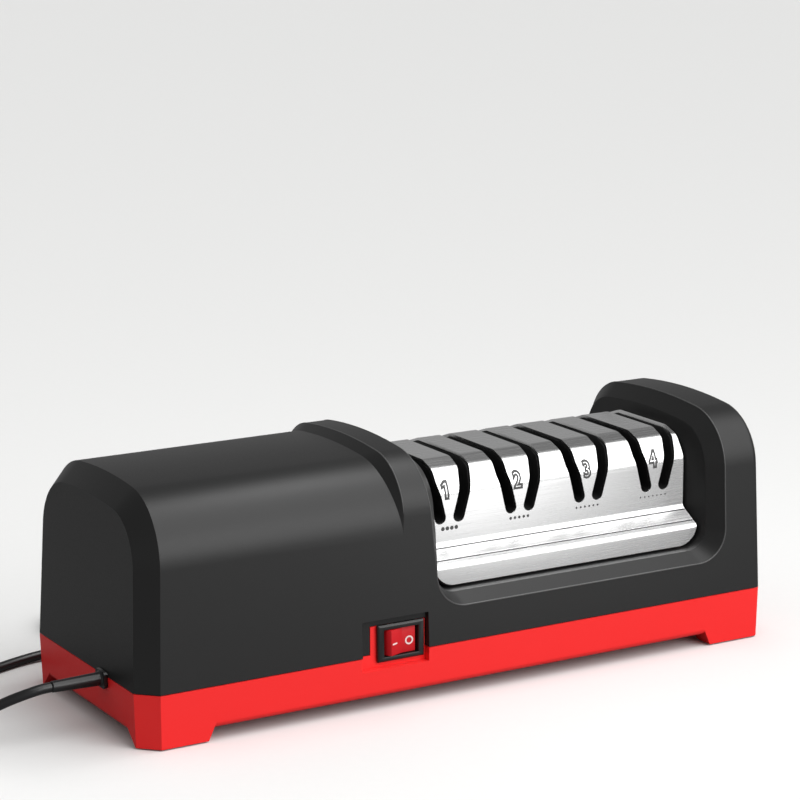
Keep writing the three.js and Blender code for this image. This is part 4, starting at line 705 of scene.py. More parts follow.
def switch_plastic():
    # Glossy flame-proof nylon of a bought-in switch
    return moulded("Black switch nylon", linear("#181818"), 0.32, 0.5 * MM, 0.002 * MM)


def rocker_plastic():
    # Red polycarbonate: a deep colour with a soft gloss
    return moulded("Red polycarbonate", colours().rocker, 0.5, 2 * MM, 0.001 * MM, 1.45)


def ink(name, colour):
    # Pad-printed ink: a thin matt film; the grey one also lies in the ledge grooves as painted
    # shade
    return moulded(name, colour, 0.6, 0.15 * MM, 0.001 * MM)


def print_on(film):
    """Gives a film on the cover the grey of its printed numbers; in the ledge grooves the same grey
    is painted shade.
    """
    return dress(film, ink("Grey ink and painted groove shade", colours().marks), "housing", "black_plastic")


def soft_rubber():
    # Thermoplastic rubber: matt, with a faint bloom
    return moulded("Black rubber", linear("#1d1d1d"), 0.78, 0.35 * MM, 0.01 * MM)


def lead_pvc():
    # Plasticised PVC sheath: soft sheen, slightly uneven from extrusion
    return moulded("Black PVC sheath", linear("#1b1b1c"), 0.34, 0.8 * MM, 0.003 * MM)


def ground_steel():
    # Centreless-ground steel: fine rings round the bar
    return brushed("Ground steel", linear("#b9bbbd"), 0.22, 0.3 * MM, 0.002 * MM)


def zinc():
    # Zinc-plated sheet steel: pale, slightly blue, with a spangled haze
    return sintered("Zinc plate", linear("#c3c6c9"), 0.38, 1.4 * MM, 0.001 * MM, 1.0)


def diamond_plate():
    # Diamond grit held in nickel plate; grains drawn 0.3 mm wide so that they show
    return sintered("Diamond in nickel plate", linear("#8d9096"), 0.5, 0.3 * MM, 0.05 * MM, 0.8)


def natural_nylon():
    # Unfilled nylon: milky and waxy
    return moulded("Natural nylon", linear("#e6e2d6"), 0.42, 0.8 * MM, 0.003 * MM)


def copper():
    # Lacquered copper over varnished laminations
    return brushed("Lacquered copper", linear("#b4632f"), 0.32, 0.5 * MM, 0.02 * MM)


def ferrite():
    # Pressed and sintered ferrite: charcoal grey and matt
    return sintered("Sintered ferrite", linear("#3b3d40"), 0.7, 0.4 * MM, 0.01 * MM)


def carbon():
    # Pressed carbon brush: soft black with a greasy sheen
    return sintered("Pressed carbon", linear("#26272a"), 0.5, 0.3 * MM, 0.006 * MM)


def circuit_board():
    # Glass-epoxy board under green solder mask
    return moulded("Solder mask", linear("#2f6b45"), 0.35, 1.2 * MM, 0.003 * MM)


def self_lit_strip(tree, glossy):
    """A bright strip of floor that only mirrors see, across the view from the cover's left half."""
    where = add(tree, "ShaderNodeTexCoord")
    across = add(tree, "ShaderNodeVectorMath", {0: where.outputs["Object"], 1: (0.864, 0.503, 0)},
                 operation="DOT_PRODUCT")
    split = add(tree, "ShaderNodeSeparateXYZ", {"Vector": where.outputs["Object"]})
    left = spread(tree, across.outputs["Value"], -0.06, -0.02, 0.0, 1.0)
    right = spread(tree, across.outputs["Value"], 0.0, 0.12, 2.4, 0.0)
    far = spread(tree, split.outputs["Y"], -0.30, -0.16, 1.0, 0.0)
    strip = glossy
    for factor in (left, right, far):
        strip = add(tree, "ShaderNodeMath", {0: strip, 1: factor},
                    operation="MULTIPLY").outputs["Value"]
    return strip


def floor_paper():
    # Seamless studio paper: pale to the camera, and dimmer in what the object mirrors
    material, tree, shader = blank("Studio paper")
    if tree:
        grain = texture(tree, "ShaderNodeTexNoise", 4 * MM, inputs={"Detail": 2.0})
        pale = tint(tree, grain.outputs["Fac"], colours().floor, 0.99, 1.01)
        ray = add(tree, "ShaderNodeLightPath")
        seen = add(tree, "ShaderNodeMix", {"Factor": ray.outputs["Is Camera Ray"]},
                   data_type="RGBA")
        seen.inputs["A"].default_value = (*linear("#8a8a8a"), 1)
        tree.links.new(pale, seen.inputs["B"])
        tree.links.new(seen.outputs["Result"], shader.inputs["Base Color"])
        shader.inputs["Roughness"].default_value = 0.9
        glow = self_lit_strip(tree, ray.outputs["Is Glossy Ray"])
        tree.links.new(glow, shader.inputs["Emission Strength"])
        shader.inputs["Emission Color"].default_value = (1, 1, 1, 1)
    return material


# Operators


class SHARPENER_OT_studio(bpy.types.Operator):
    """Set up the camera, the floor and the soft lamps"""
    bl_idname = "sharpener.studio"
    bl_label = "Studio"

    def execute(self, context):
        # The camera's place and axes were fitted to the casing's straight edges in the photo
        deselect()
        spot = (-0.54453, -0.93524, 0.34821)
        forward = Vector((0.49013, 0.84469, -0.21510))
        right = Vector((0.86434, -0.50287, -0.00524))
        up = Vector((0.11260, 0.18335, 0.97658))
        turn = Matrix((right, up, -forward)).transposed()
        bpy.ops.object.camera_add(location=spot, rotation=turn.to_euler())
        camera = context.object
        camera.name = "photo_camera"
        camera.data.sensor_width = 36
        camera.data.lens = sizes().lens
        camera.data.clip_start = 0.01
        context.scene.camera = camera

        # A wide soft sun stands for the room's ceiling light
        deselect()
        way = Vector((0.40, -0.37, 0.84))
        bpy.ops.object.light_add(type="SUN", location=2 * way,
                                 rotation=(-way).to_track_quat("-Z", "Y").to_euler())
        sun = context.object
        sun.name = "ceiling_sun"
        sun.data.energy = 2.0
        sun.data.angle = 58 * DEGREE

        lamps = (
            # name, middle, place that it faces, width, height, power
            ("front_box", (0.55, -1.43, 0.60), (0, 0, 0.05), 1.2, 0.8, 13),
            # a low strip over the motor block, for the highlight along its shoulder
            ("block_strip", (0.11, 0.0, 0.45), (-0.08, -0.03, 0.09), 0.15, 0.07, 0.3),
        )
        for name, spot, aim, width, height, power in lamps:
            way = Vector(aim) - Vector(spot)
            deselect()
            bpy.ops.object.light_add(type="AREA", location=spot,
                                     rotation=way.to_track_quat("-Z", "Y").to_euler())
            lamp = context.object
            lamp.name = name
            lamp.data.shape = "RECTANGLE"
            lamp.data.size = width
            lamp.data.size_y = height
            lamp.data.energy = power
            lamp.visible_camera = False

        self.room(context)
        context.scene.view_settings.view_transform = "Standard"

        deselect()
        bpy.ops.mesh.primitive_grid_add(x_subdivisions=8, y_subdivisions=8, size=8)
        floor = new_piece("studio_floor")
        floor.data.materials.append(floor_paper())
        return {"FINISHED"}

    def room(self, context):
        """A room that is brighter overhead, while mirrors see it brighter near the floor."""
        world = context.scene.world or bpy.data.worlds.new("Studio world")
        context.scene.world = world
        world.use_nodes = True
        tree = world.node_tree
        where = add(tree, "ShaderNodeTexCoord")
        split = add(tree, "ShaderNodeSeparateXYZ", {"Vector": where.outputs["Generated"]})
        level = spread(tree, split.outputs["Z"], 0.1, 0.6, 0.15, 0.55)
        mirrored = spread(tree, split.outputs["Z"], 0.1, 0.7, 0.44, 0.17)
        ray = add(tree, "ShaderNodeLightPath")
        strength = add(tree, "ShaderNodeMix", {"Factor": ray.outputs["Is Glossy Ray"],
                                               "A": level, "B": mirrored}, data_type="FLOAT")
        tree.links.new(strength.outputs["Result"], tree.nodes["Background"].inputs["Strength"])
        tree.nodes["Background"].inputs["Color"].default_value = (*linear("#fafafa"), 1)


def lead_line():
    """The lead's whole run: the free route, the coil and the tail to the plug, in metres."""
    route = [Vector(p) for p in LEAD_ROUTE]
    line = []
    for i in range(len(route) - 1):
        before = route[max(i - 1, 0)]
        start, end = route[i], route[i + 1]
        after = route[min(i + 2, len(route) - 1)]
        steps = max(2, round((end - start).length / 1.6))
        for k in range(steps):
            t = k / steps
            line.append(0.5 * (2 * start + (end - before) * t
                               + (2 * before - 5 * start + 4 * end - after) * t * t
                               + (3 * start - before - 3 * end + after) * t ** 3))
    per_turn = 60
    total = 2 * COIL.turns * per_turn
    for i in range(total + 1):
        turn = i / per_turn - COIL.turns
        radius = COIL.inner + COIL.pitch * abs(turn)
        climb = min(max(2 * turn + 0.5, 0), 1)
        climb = climb * climb * (3 - 2 * climb)
        angle = 2 * math.pi * turn - math.pi / 2
        line.append(Vector((COIL.x + radius * math.cos(angle), COIL.y + radius * math.sin(angle),
                            LEAD_RADIUS + COIL.lift + COIL.pitch * climb)))
    end = line[-1].copy()
    plug_z = PLUG.half_thickness + PLUG.clearance
    for k in range(1, 13):
        share = k / 12
        ease = share * share * (3 - 2 * share)
        line.append(Vector((end.x + COIL.tail * share, end.y, end.z + (plug_z - end.z) * ease)))
    return [p * MM for p in line]


def plug_start():
    outer = COIL.inner + COIL.pitch * COIL.turns
    return COIL.x + COIL.tail + TOUCH, COIL.y - outer, PLUG.half_thickness + PLUG.clearance


class SHARPENER_OT_lead(bpy.types.Operator):
    """Make the mains lead with its coil, tie, plug and strain relief"""
    bl_idname = "sharpener.lead"
    bl_label = "Mains lead"

    def execute(self, context):
        line = lead_line()
        curve = bpy.data.curves.new("mains_lead", "CURVE")
        curve.dimensions = "3D"
        spline = curve.splines.new("POLY")
        spline.points.add(len(line) - 1)
        for point, place in zip(spline.points, line):
            point.co = (*place, 1)
        spline.use_smooth = True
        curve.bevel_depth = LEAD_RADIUS * MM
        curve.bevel_resolution = 4
        curve.use_fill_caps = True
        lead = bpy.data.objects.new("mains_lead", curve)
        context.scene.collection.objects.link(lead)
        dress(lead, lead_pvc(), "housing", "vinyl", "cord_lead", "cord_coil")

        plug = self.plug()
        pins = [self.pin(i) for i in (0, 1)]
        tie = self.tie()
        length = sum((b - a).length for a, b in zip(line, line[1:]))
        tuple(line[0])
        self.relief()
        return {"FINISHED"}

    def plug(self):
        x0, y0, z0 = plug_start()
        shoulder = x0 + PLUG.neck
        front = shoulder + PLUG.body
        rings = []
        marks = [  # along, half width, half height, squareness
            (x0, 2.5, 2.5, 1.0), (x0 + 0.6, 2.9, 2.9, 1.0), (shoulder - 1, 3.2, 3.2, 1.0),
            (shoulder, 3.6, 3.4, 0.9), (shoulder + 1.6, 5.4, 5.0, 0.75),
            (shoulder + PLUG.shoulder, 9, 6.25, 0.6), (shoulder + 10, 12, 6.6, 0.55),
            (shoulder + 17, 15.4, 6.75, 0.5), (shoulder + 24, 17.3, 6.8, 0.5),
            (front - 1.2, 17.4, 6.8, 0.5), (front - 0.4, 17.2, 6.6, 0.5), (front, 16.6, 6.0, 0.5),
        ]
        for (xa, wa, ha, pa), (xb, wb, hb, pb) in zip(marks, marks[1:]):
            steps = max(1, round((xb - xa) / 1.2))
            for k in range(steps):
                t = k / steps
                rings.append(self.plug_ring(xa + (xb - xa) * t, wa + (wb - wa) * t,
                                            ha + (hb - ha) * t, pa + (pb - pa) * t, y0, z0))
        rings.append(self.plug_ring(*marks[-1], y0, z0))
        body = skin("plug_moulding", rings)
        seats = [rod("seat", PLUG.pin_radius + TOUCH, front - PLUG.pin_seat, front + OVERRUN, "x",
                     (0, y0 + s * PLUG.pin_spacing / 2, z0), 32) for s in (-1, 1)]
        cut(body, *seats)
        smooth(body, 35)
        return dress(body, lead_pvc(), "housing", "vinyl", "plug_body")

    @staticmethod
    def plug_ring(x, wide, high, power, y0, z0):
        ring = []
        for i in range(48):
            angle = 2 * math.pi * (i + 0.5) / 48
            c, s = math.cos(angle), math.sin(angle)
            ring.append((x, y0 + math.copysign(wide * abs(c) ** power, c),
                         z0 + math.copysign(high * abs(s) ** power, s)))
        return ring

    def pin(self, index):
        x0, y0, z0 = plug_start()
        front = x0 + PLUG.neck + PLUG.body
        low, high, r = front - PLUG.pin_seat + TOUCH, front + PLUG.pin_length, PLUG.pin_radius
        neck, step = r - PLUG.sleeve_sunk, front + PLUG.sleeve_end
        profile = [(low, 0), (low, neck), (step - 0.4, neck), (step - 0.2, neck - 0.1),
                   (step, r), (high - r, r)]
        for k in range(1, 7):
            angle = math.pi / 2 * k / 6
            profile.append((high - r + r * math.sin(angle), r * math.cos(angle) * (k < 6)))
        side = (-1, 1)[index]
        pin = turned(f"plug_blade_{index + 1}", profile, "x",
                     (0, y0 + side * PLUG.pin_spacing / 2, z0), 40)
        smooth(pin, 35)
        return dress(pin, ground_steel(), "housing", "steel", f"plug_pin_{index + 1}")

    def tie(self):
        inner = COIL.y + COIL.inner - LEAD_RADIUS - TIE.gap
        outer = COIL.y + COIL.inner + COIL.pitch * COIL.turns + LEAD_RADIUS + TIE.gap
        low = COIL.lift - TIE.gap
        high = COIL.lift + 2 * LEAD_RADIUS + COIL.pitch + TIE.gap
        t = TIE.thickness
        outline = rounded(box_outline(inner - t, outer + t, low - t, high + t), 2 * t)
        hole = rounded(box_outline(inner, outer, low, high), t)
        x0, x1 = COIL.x - TIE.width / 2, COIL.x + TIE.width / 2
        band = prism("lead_tie", outline, "x", x0, x1)
        cut(band, prism("tie_hole", hole, "x", x0 - OVERRUN, x1 + OVERRUN))
        soften(band, 0.12 * MM)
        smooth(band)
        return dress(band, soft_rubber(), "housing", "vinyl", "cord_tie")

    def relief(self):
        g = GLAND
        outside = LEFT - TOUCH
        inside = LEFT + CASING.wall + CASING.base_inset + TOUCH
        t = g.flange_thickness

        def plate(name, size, x0, x1, turn):
            w, h = size
            outline = box_outline(g.y - w / 2, g.y + w / 2, g.z - h / 2, g.z + h / 2)
            return prism(name, rounded(outline, turn, 6), "x", x0, x1)

        tip = outside - t - g.length
        profile = [(outside, 0), (outside, g.root + 0.9), (outside - t, g.root + 0.6),
                   (outside - t - 0.6, g.root), (tip + 0.3, g.tip), (tip, g.tip - 0.2), (tip, 0)]
        piece = turned("lead_relief", profile, "x", (0, g.y, g.z), 40)
        tail = rod("tail", g.tail_radius, inside, inside + t + g.tail, "x", (0, g.y, g.z), 32)
        cut(piece, plate("flange", g.flange, outside - t, outside, t), operation="UNION")
        cut(piece, plate("neck", g.neck, outside - t / 2, inside + t / 2, 0.6), operation="UNION")
        cut(piece, plate("inner_flange", g.flange, inside, inside + t, t), operation="UNION")
        cut(piece, tail, operation="UNION")
        tidy(piece, 0.02 * MM)
        soften(piece, 0.2 * MM, 60)
        smooth(piece, 32)
        return dress(piece, lead_pvc(), "housing", "vinyl", "strain_relief")


def rim_point(place, grow, share, lift=0):
    """A point of the saddle's bevelled rim: 0 is its inner ridge, 1 its outer ridge.

    A place is a corner of the side view in front or behind, or one of the casing's own section
    over the collar or the arch. Lifted points stand outside the casing.
    """
    kind, side, (a, b) = place
    inset = SADDLE.bevel * (1 - share) - lift
    if kind == "flare":
        (xi, zi), (xo, zo) = a, b
        x, z = xi + (xo - xi) * share, zi + (zo - zi) * share
        draft = CASING.side_draft
        y = HALF - (z - CASING.parting) * math.tan(draft) - inset / math.cos(draft)
        return x, side * y, z
    near, far, lean = ((SADDLE.left - grow, SADDLE.left - grow - SADDLE.rim_left, -SADDLE.rim_lean)
                       if kind == "collar"
                       else (SADDLE.right + grow, SADDLE.right + grow + SADDLE.rim_right, 0))
    y, z = section(*ARCH, inset, 0)[a]
    return near + (far - near) * share + lean * share * (z - SADDLE.floor), y, z


def rim_places(grow):
    """The rim's way round: down in front, along its floor and up, and over the arch and collar."""
    top = ARCH_SHOULDER_Z
    inner, outer = saddle_outline(grow, top), saddle_outline(grow, top, rim=True)
    flare = list(zip(inner, outer))[:-2]
    last = len(section(*ARCH, 0, 0)) - 1
    over = [(i, None) for i in range(1, last)]
    return ([("flare", -1, pair) for pair in flare]
            + [("arch", 1, place) for place in reversed(over)]
            + [("flare", 1, pair) for pair in reversed(flare)]
            + [("collar", 1, place) for place in over])


def saddle_cutters(grow):
    """What the saddle takes away: its channel, and the bevelled rim all the way round it."""
    wide = HALF + OVERRUN
    through = saddle_outline(grow, CASING.arch_crest + 2 * CASING.wall)
    yield prism("saddle_channel", through, "y", -wide, wide)
    past = OVERRUN / SADDLE.bevel
    corners = ((-past, 0), (1 + past, 0), (1 + past, 2 * OVERRUN),
               (-past, SADDLE.bevel + 3 * OVERRUN))
    rings = [[rim_point(place, grow, share, lift) for share, lift in corners]
             for place in rim_places(grow)]
    yield skin("saddle_rim", rings + rings[:1], holes=False)


def shaft_passage(low, high, gap):
    radius = SHAFT_RADIUS + gap
    bottom = SADDLE.floor - CASING.wall - OVERRUN
    passage = rod("passage", radius, low, high)
    return cut(passage, block("passage_foot", (low, high), (-radius, radius), (bottom, AXIS_Z)),
               operation="UNION")


class SHARPENER_OT_casing(bpy.types.Operator):
    """Mould the black upper housing with its collar, saddle and small arch"""
    bl_idname = "sharpener.casing"
    bl_label = "Upper housing"

    def execute(self, context):
        housing = skin("housing_moulding", casing_rings(0, SHELL_BOTTOM))
        cut(housing, *saddle_cutters(0))
        pocket = block("pocket", (POCKET.left, POCKET.right), (-HALF - OVERRUN, POCKET_FACE),
                       (SHELL_BOTTOM - OVERRUN, POCKET.top))
        cut(housing, pocket)
        tidy(housing, 0.02 * MM)
        soften(housing, sizes().edge, 14)
        self.hollow(housing)
        smooth(housing)
        apply(housing, "WEIGHTED_NORMAL", keep_sharp=True, mode="FACE_AREA_WITH_ANGLE", weight=50)
        dress(housing, black_abs(), "housing", "black_abs", "upper_housing")
        # The steel mirrors the bright floor up to its ends, so mirrors don't see the dark casing
        housing.visible_glossy = False
        self.beads()
        return {"FINISHED"}

    def beads(self):
        """Fine rounded edges that catch the light along the collar's ridge and round the rim; their
        paler black is a painted highlight.
        """
        sunk = COLLAR.bead_sunk
        ridge = [(SADDLE.left - SADDLE.rim_left - COLLAR.width, y, z)
                 for y, z in section(*ARCH, sunk, COLLAR.bead_end)]
        rim = [rim_point(place, 0, 1, -sunk) for place in rim_places(0)]

        def faded(t):
            return COLLAR.bead * min(1, 0.3 + 6 * min(t, 1 - t))

        for name, path, radius in (("collar_bead", ridge, faded),
                                   ("rim_bead", rim + rim[:1], lambda t: COLLAR.bead)):
            bead = smooth(tube(name, path, radius, 8), 60)
            dress(bead, polished_abs(), "housing", "black_abs")

    def hollow(self, housing):
        wall = CASING.wall
        inside = skin("hollow", casing_rings(wall, SHELL_BOTTOM - OVERRUN, (8, 3)))
        cut(inside, *saddle_cutters(wall))

        def bosses(name, radius, low, high, sides=32):
            return [rod(name, radius, low, high, "z", (x, y, 0), sides) for x, y in BOSSES]

        deep = POCKET_FACE + wall
        behind = block("pocket_back", (POCKET.left - wall, POCKET.right + wall),
                       (-HALF - OVERRUN, deep), (SHELL_BOTTOM - 2 * OVERRUN, POCKET.top + wall))
        cut(inside, *bosses("boss", CASING.boss, SHELL_BOTTOM - 2 * OVERRUN,
                            CASING.arch_crest + OVERRUN), behind)
        cut(housing, inside)
        end = SADDLE.window_end
        window = rounded(box_outline(SADDLE.left + end, SADDLE.right - end, -SADDLE.window_side,
                                     SADDLE.window_side), end, 6)
        half_neck = GLAND.neck[0] / 2 + TOUCH
        cut(
            housing,
            block("panel_window", (PANEL.left - TOUCH, PANEL.right + TOUCH),
                  (-HALF - OVERRUN, deep + OVERRUN), (SHELL_BOTTOM - OVERRUN, PANEL.top + TOUCH)),
            prism("saddle_window", window, "z", SHELL_BOTTOM, SADDLE.floor + OVERRUN),
            shaft_passage(SADDLE.left - wall - OVERRUN, SADDLE.right + wall + OVERRUN,
                          GUIDE.shaft_gap + TOUCH),
            block("gland_notch", (LEFT - OVERRUN, LEFT + 2 * wall),
                  (GLAND.y - half_neck, GLAND.y + half_neck),
                  (0, GLAND.z + GLAND.neck[1] / 2 + TOUCH)),
            *bosses("bore", CASING.bore, SHELL_BOTTOM - OVERRUN, SHELL_BOTTOM + CASING.screw_length,
                    24),
        )
        rebate = prism("rebate", plan(wall - CASING.lip - TOUCH), "z", SHELL_BOTTOM - OVERRUN,
                       SHELL_BOTTOM + CASING.lip_height + TOUCH)
        keep = bosses("boss_kept", CASING.boss, SHELL_BOTTOM - 2 * OVERRUN, CASING.arch_crest)
        keep.append(block("pocket_kept", (POCKET.left - wall, POCKET.right + wall),
                          (-HALF - OVERRUN, deep),
                          (SHELL_BOTTOM - 2 * OVERRUN, SHELL_BOTTOM + 2 * CASING.lip_height)))
        cut(housing, cut(rebate, *keep))


class SHARPENER_OT_base(bpy.types.Operator):
    """Mould the red base with its feet, and set the pads and screws under it"""
    bl_idname = "sharpener.base"
    bl_label = "Base"

    def execute(self, context):
        tray = copy_of("base_tray")
        tray.name = "base_moulding"
        soften(tray, 0.35 * MM, 24)
        along = (LEFT + RAIL.foot_left - TOUCH, RIGHT - RAIL.foot_right + TOUCH)
        across = (-HALF + RAIL.foot_depth - TOUCH, HALF - RAIL.foot_depth + TOUCH)
        for side in (-1, 1):
            cut(tray, prism("rail", self.rail(HALF, side), "x", *along),
                prism("end_rail", self.rail(RIGHT, side), "y", *across), operation="UNION")
        smooth(tray)
        apply(tray, "WEIGHTED_NORMAL", keep_sharp=True, mode="FACE_AREA_WITH_ANGLE", weight=50)
        dress(tray, red_abs(), "housing", "red_abs", "base_tray")
        for i in range(1, 5):
            low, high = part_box(f"foot_pad_{i}")
            x, y = (low[0] + high[0]) / 2 / MM, (low[1] + high[1]) / 2 / MM
            rings = []
            # A dimple under the pad, then its round lower edge, as insets and heights
            for inset, z in ((1.3, 0.25), (1.1, 0.25), (0.9, 0), (0.4, 0), (0.12, 0.12), (0, 0.4),
                             (0, PAD.top)):
                wide, deep = PAD.half_length - inset, PAD.half_width - inset
                outline = box_outline(x - wide, x + wide, y - deep, y + deep)
                rings.append([(u, v, z) for u, v in rounded(outline, PAD.corner - inset, 5)])
            pad = skin(f"rubber_pad_{i}", rings)
            smooth(pad, 35)
            dress(pad, soft_rubber(), "housing", "rubber", f"foot_pad_{i}")
            self.screw(i)
        return {"FINISHED"}

    @staticmethod
    def rail(half, side):
        """The rounded lower edge between two feet, as an outline across it."""
        r = RAIL

        def face(z):
            share = (CASING.parting - z) / (CASING.parting - r.foot_bottom)
            return half + r.proud - CASING.base_inset * share

        start = face(r.bottom + r.turn)
        turn = [(start - r.turn * (1 - math.cos(a)), r.bottom + r.turn * (1 - math.sin(a)))
                for a in (math.pi / 2 * k / 8 for k in range(9))]
        inner = half - r.depth
        wall = half - HALF + r.wall
        outline = [(face(r.top), r.top), *turn, (inner, r.bottom), (inner, r.seat), (wall, r.seat),
                   (wall, r.top)]
        return [(side * u, z) for u, z in outline]

    def screw(self, index):
        low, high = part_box(f"housing_screw_{index}")
        x, y = (low[0] + high[0]) / 2 / MM, (low[1] + high[1]) / 2 / MM
        z0, z1 = low[2] / MM, high[2] / MM
        head, rim = z0 + SCREW.head, SCREW.head_radius
        profile = [(z0, 0), (z0, rim - 0.4), (z0 + 0.5, rim), (head - 0.1, rim + 0.1),
                   (head, rim), (head, SCREW.neck)]
        z = head
        while z < z1 - SCREW.tip - 0.9:
            profile += [(z + SCREW.pitch / 2, SCREW.root), (z + SCREW.pitch, SCREW.crest)]
            z += SCREW.pitch
        profile += [(z1 - SCREW.tip, SCREW.root - 0.1), (z1, 0)]
        piece = turned(f"base_screw_{index}", profile, "z", (x, y, 0), 32)
        arm, slit, deep = SCREW.cross, SCREW.cross_half, (z0 - 1, z0 + SCREW.cross_depth)
        cut(piece, block("cross_a", (x - arm, x + arm), (y - slit, y + slit), deep),
            block("cross_b", (x - slit, x + slit), (y - arm, y + arm), deep))
        smooth(piece, 30)
        dress(piece, zinc(), "housing", "zinc_plate", f"housing_screw_{index}")


def cover_face(z):
    """The distance of the cover's front face from the middle, at a height."""
    path = [p for p in cover_path(0) if p[0] < -COVER.flat_half]
    for (y0, z0), (y1, z1) in zip(path, path[1:]):
        if z0 <= z <= z1 and z1 > z0:
            return -(y0 + (y1 - y0) * (z - z0) / (z1 - z0))
    return COVER.flat_half


class SHARPENER_OT_cover(bpy.types.Operator):
    """Press the brushed steel cover, cut its slots and print its numbers"""
    bl_idname = "sharpener.cover"
    bl_label = "Steel cover"

    def execute(self, context):
        outer = cover_path(0, grooves=True)
        inner = cover_path(COVER.sheet)
        sheet = prism("cover_sheet", outer + inner[::-1], "x", COVER.left, COVER.right)
        cut(sheet, prism("skirt_shape", skirt(0, COVER.bottom), "y", -HALF, HALF),
            operation="INTERSECT")
        for centre, side in SLOTS:
            outline = slot_outline(centre, side, SLOT.width + 2 * SLOT.lip)
            cut(sheet, prism("slot", outline, "y", -HALF, HALF))
        tidy(sheet, 0.01 * MM)
        soften(sheet, 0.2 * MM, 50)
        smooth(sheet, 22)
        apply(sheet, "WEIGHTED_NORMAL", keep_sharp=True, mode="FACE_AREA_WITH_ANGLE", weight=50)
        dress(sheet, cover_steel(), "housing", "brushed_steel", "guide_cover")
        for i, (centre, shift) in enumerate(zip(STAGES, DIGIT.shifts), 1):
            self.digit(i, centre + shift)
            self.dots(i, centre)
        self.lines()
        return {"FINISHED"}

    def lines(self):
        """Painted shade in the grooves along both ledges: a thin grey strip at each groove's
        bottom.
        """
        c = COVER
        slope = Vector((c.skirt_half - c.face_half, c.skirt_z - c.ledge_z)).normalized()
        inward = Vector((slope.y, -slope.x))
        for side, name in ((-1, "front"), (1, "rear")):
            for number, distance in enumerate(c.grooves, 1):
                middle = Vector((c.face_half, c.ledge_z)) + slope * distance + inward * c.groove_ink
                half, deep = slope * c.groove, inward * c.groove_ink / 2
                outline = [(side * p.x, p.y) for p in (middle - half, middle + half, middle + deep)]
                print_on(prism(f"ledge_groove_shade_{name}_{number}", outline, "x", c.left + TOUCH,
                               c.right - TOUCH))

    def digit(self, number, centre):
        """An outlined digit, laid on the bent face as a thin film."""
        deselect()
        if number == 1:
            bpy.ops.curve.primitive_bezier_curve_add()
            curve = bpy.context.object.data
            curve.splines.clear()
            spline = curve.splines.new("POLY")
            spline.points.add(len(FIGURE_ONE) - 1)
            for point, (x, y) in zip(spline.points, FIGURE_ONE):
                point.co = (x, y, 0, 1)
            spline.use_cyclic_u = True
            curve.dimensions = "2D"
        else:
            bpy.ops.object.text_add()
            curve = bpy.context.object.data
            curve.body = str(number)
            curve.resolution_u = 10
            curve.offset = DIGIT.spread
        curve.fill_mode = "NONE"
        curve.bevel_depth = DIGIT.line
        curve.bevel_resolution = 0
        bpy.ops.object.convert(target="MESH")
        film = new_piece(f"stage_number_{number}")
        bpy.ops.object.mode_set(mode="EDIT")
        bpy.ops.mesh.select_all(action="SELECT")
        bpy.ops.mesh.subdivide(number_cuts=5)
        bpy.ops.object.mode_set(mode="OBJECT")
        points = [v.co.copy() for v in film.data.vertices]
        low = Vector((min(p.x for p in points), min(p.y for p in points)))
        high = Vector((max(p.x for p in points), max(p.y for p in points)))
        height = sizes().digit / MM
        scale = height / (high.y - low.y)
        for vertex, p in zip(film.data.vertices, points):
            x = centre + (p.x - (low.x + high.x) / 2) * scale * DIGIT.narrow
            z = COVER.face_z - height / 2 + (p.y - low.y) * scale
            depth = DIGIT.film + DIGIT.thick * (p.z / DIGIT.line)
            vertex.co = Vector((x, -(cover_face(z) + depth), z)) * MM
        smooth(film, 30)
        print_on(film)

    def dots(self, number, centre):
        """A row of dots for the stage's grit, under its slots."""
        radius, count = DOTS.radii[number - 1], DOTS.counts[number - 1]
        face = -COVER.face_half
        pieces = []
        for k in range(count):
            x = centre + DOTS.shift + (k - (count - 1) / 2) * DOTS.pitch
            pieces.append(rod(f"grit_dot_{number}_{k}", radius, face - DOTS.film,
                              face + DOTS.sunk, "y", (x, 0, DOTS.z), 20))
        film = joined(f"grit_row_{number}", pieces)
        print_on(film)


class SHARPENER_OT_guide(bpy.types.Operator):
    """Mould the black knife guide under the cover"""
    bl_idname = "sharpener.guide"
    bl_label = "Knife guide"

    def execute(self, context):
        under = COVER.sheet + TOUCH
        left, right = COVER.left + TOUCH, COVER.right - TOUCH

        def closed(offset, steps, low):
            path = cover_path(offset, steps)
            return [(path[0][0], low)] + path[1:-1] + [(path[-1][0], low)]

        guide = prism("guide_moulding", closed(under, 8, GUIDE.floor), "x", left, right)
        cut(guide, prism("guide_shape", skirt(TOUCH, GUIDE.floor), "y", -HALF, HALF),
            operation="INTERSECT")
        inner = prism("guide_hollow", closed(under + GUIDE.wall, 4, GUIDE.floor - OVERRUN), "x",
                      left + GUIDE.wall, right - GUIDE.wall)
        channels = joined("channels", [
            prism("channel", slot_outline(centre, side, SLOT.width + 2 * GUIDE.channel_wall), "y",
                  -HALF, HALF)
            for centre, side in SLOTS])
        cut(inner, channels)
        cut(guide, inner)
        cut(guide, joined("cuts", [
            prism("cut", slot_outline(centre, side, SLOT.width), "y", -HALF, HALF)
            for centre, side in SLOTS]))
        reach = DISC.face + 2 * TOUCH
        for centre in STAGES:
            cut(guide, rod("disc_room", DISC.radius + GUIDE.shaft_gap, centre - reach,
                           centre + reach, sides=48))
        cut(guide, shaft_passage(COVER.left - OVERRUN, COVER.right + OVERRUN, GUIDE.shaft_gap))
        smooth(guide, 28)
        dress(guide, guide_nylon(), "housing", "black_plastic", "knife_guide")
        return {"FINISHED"}


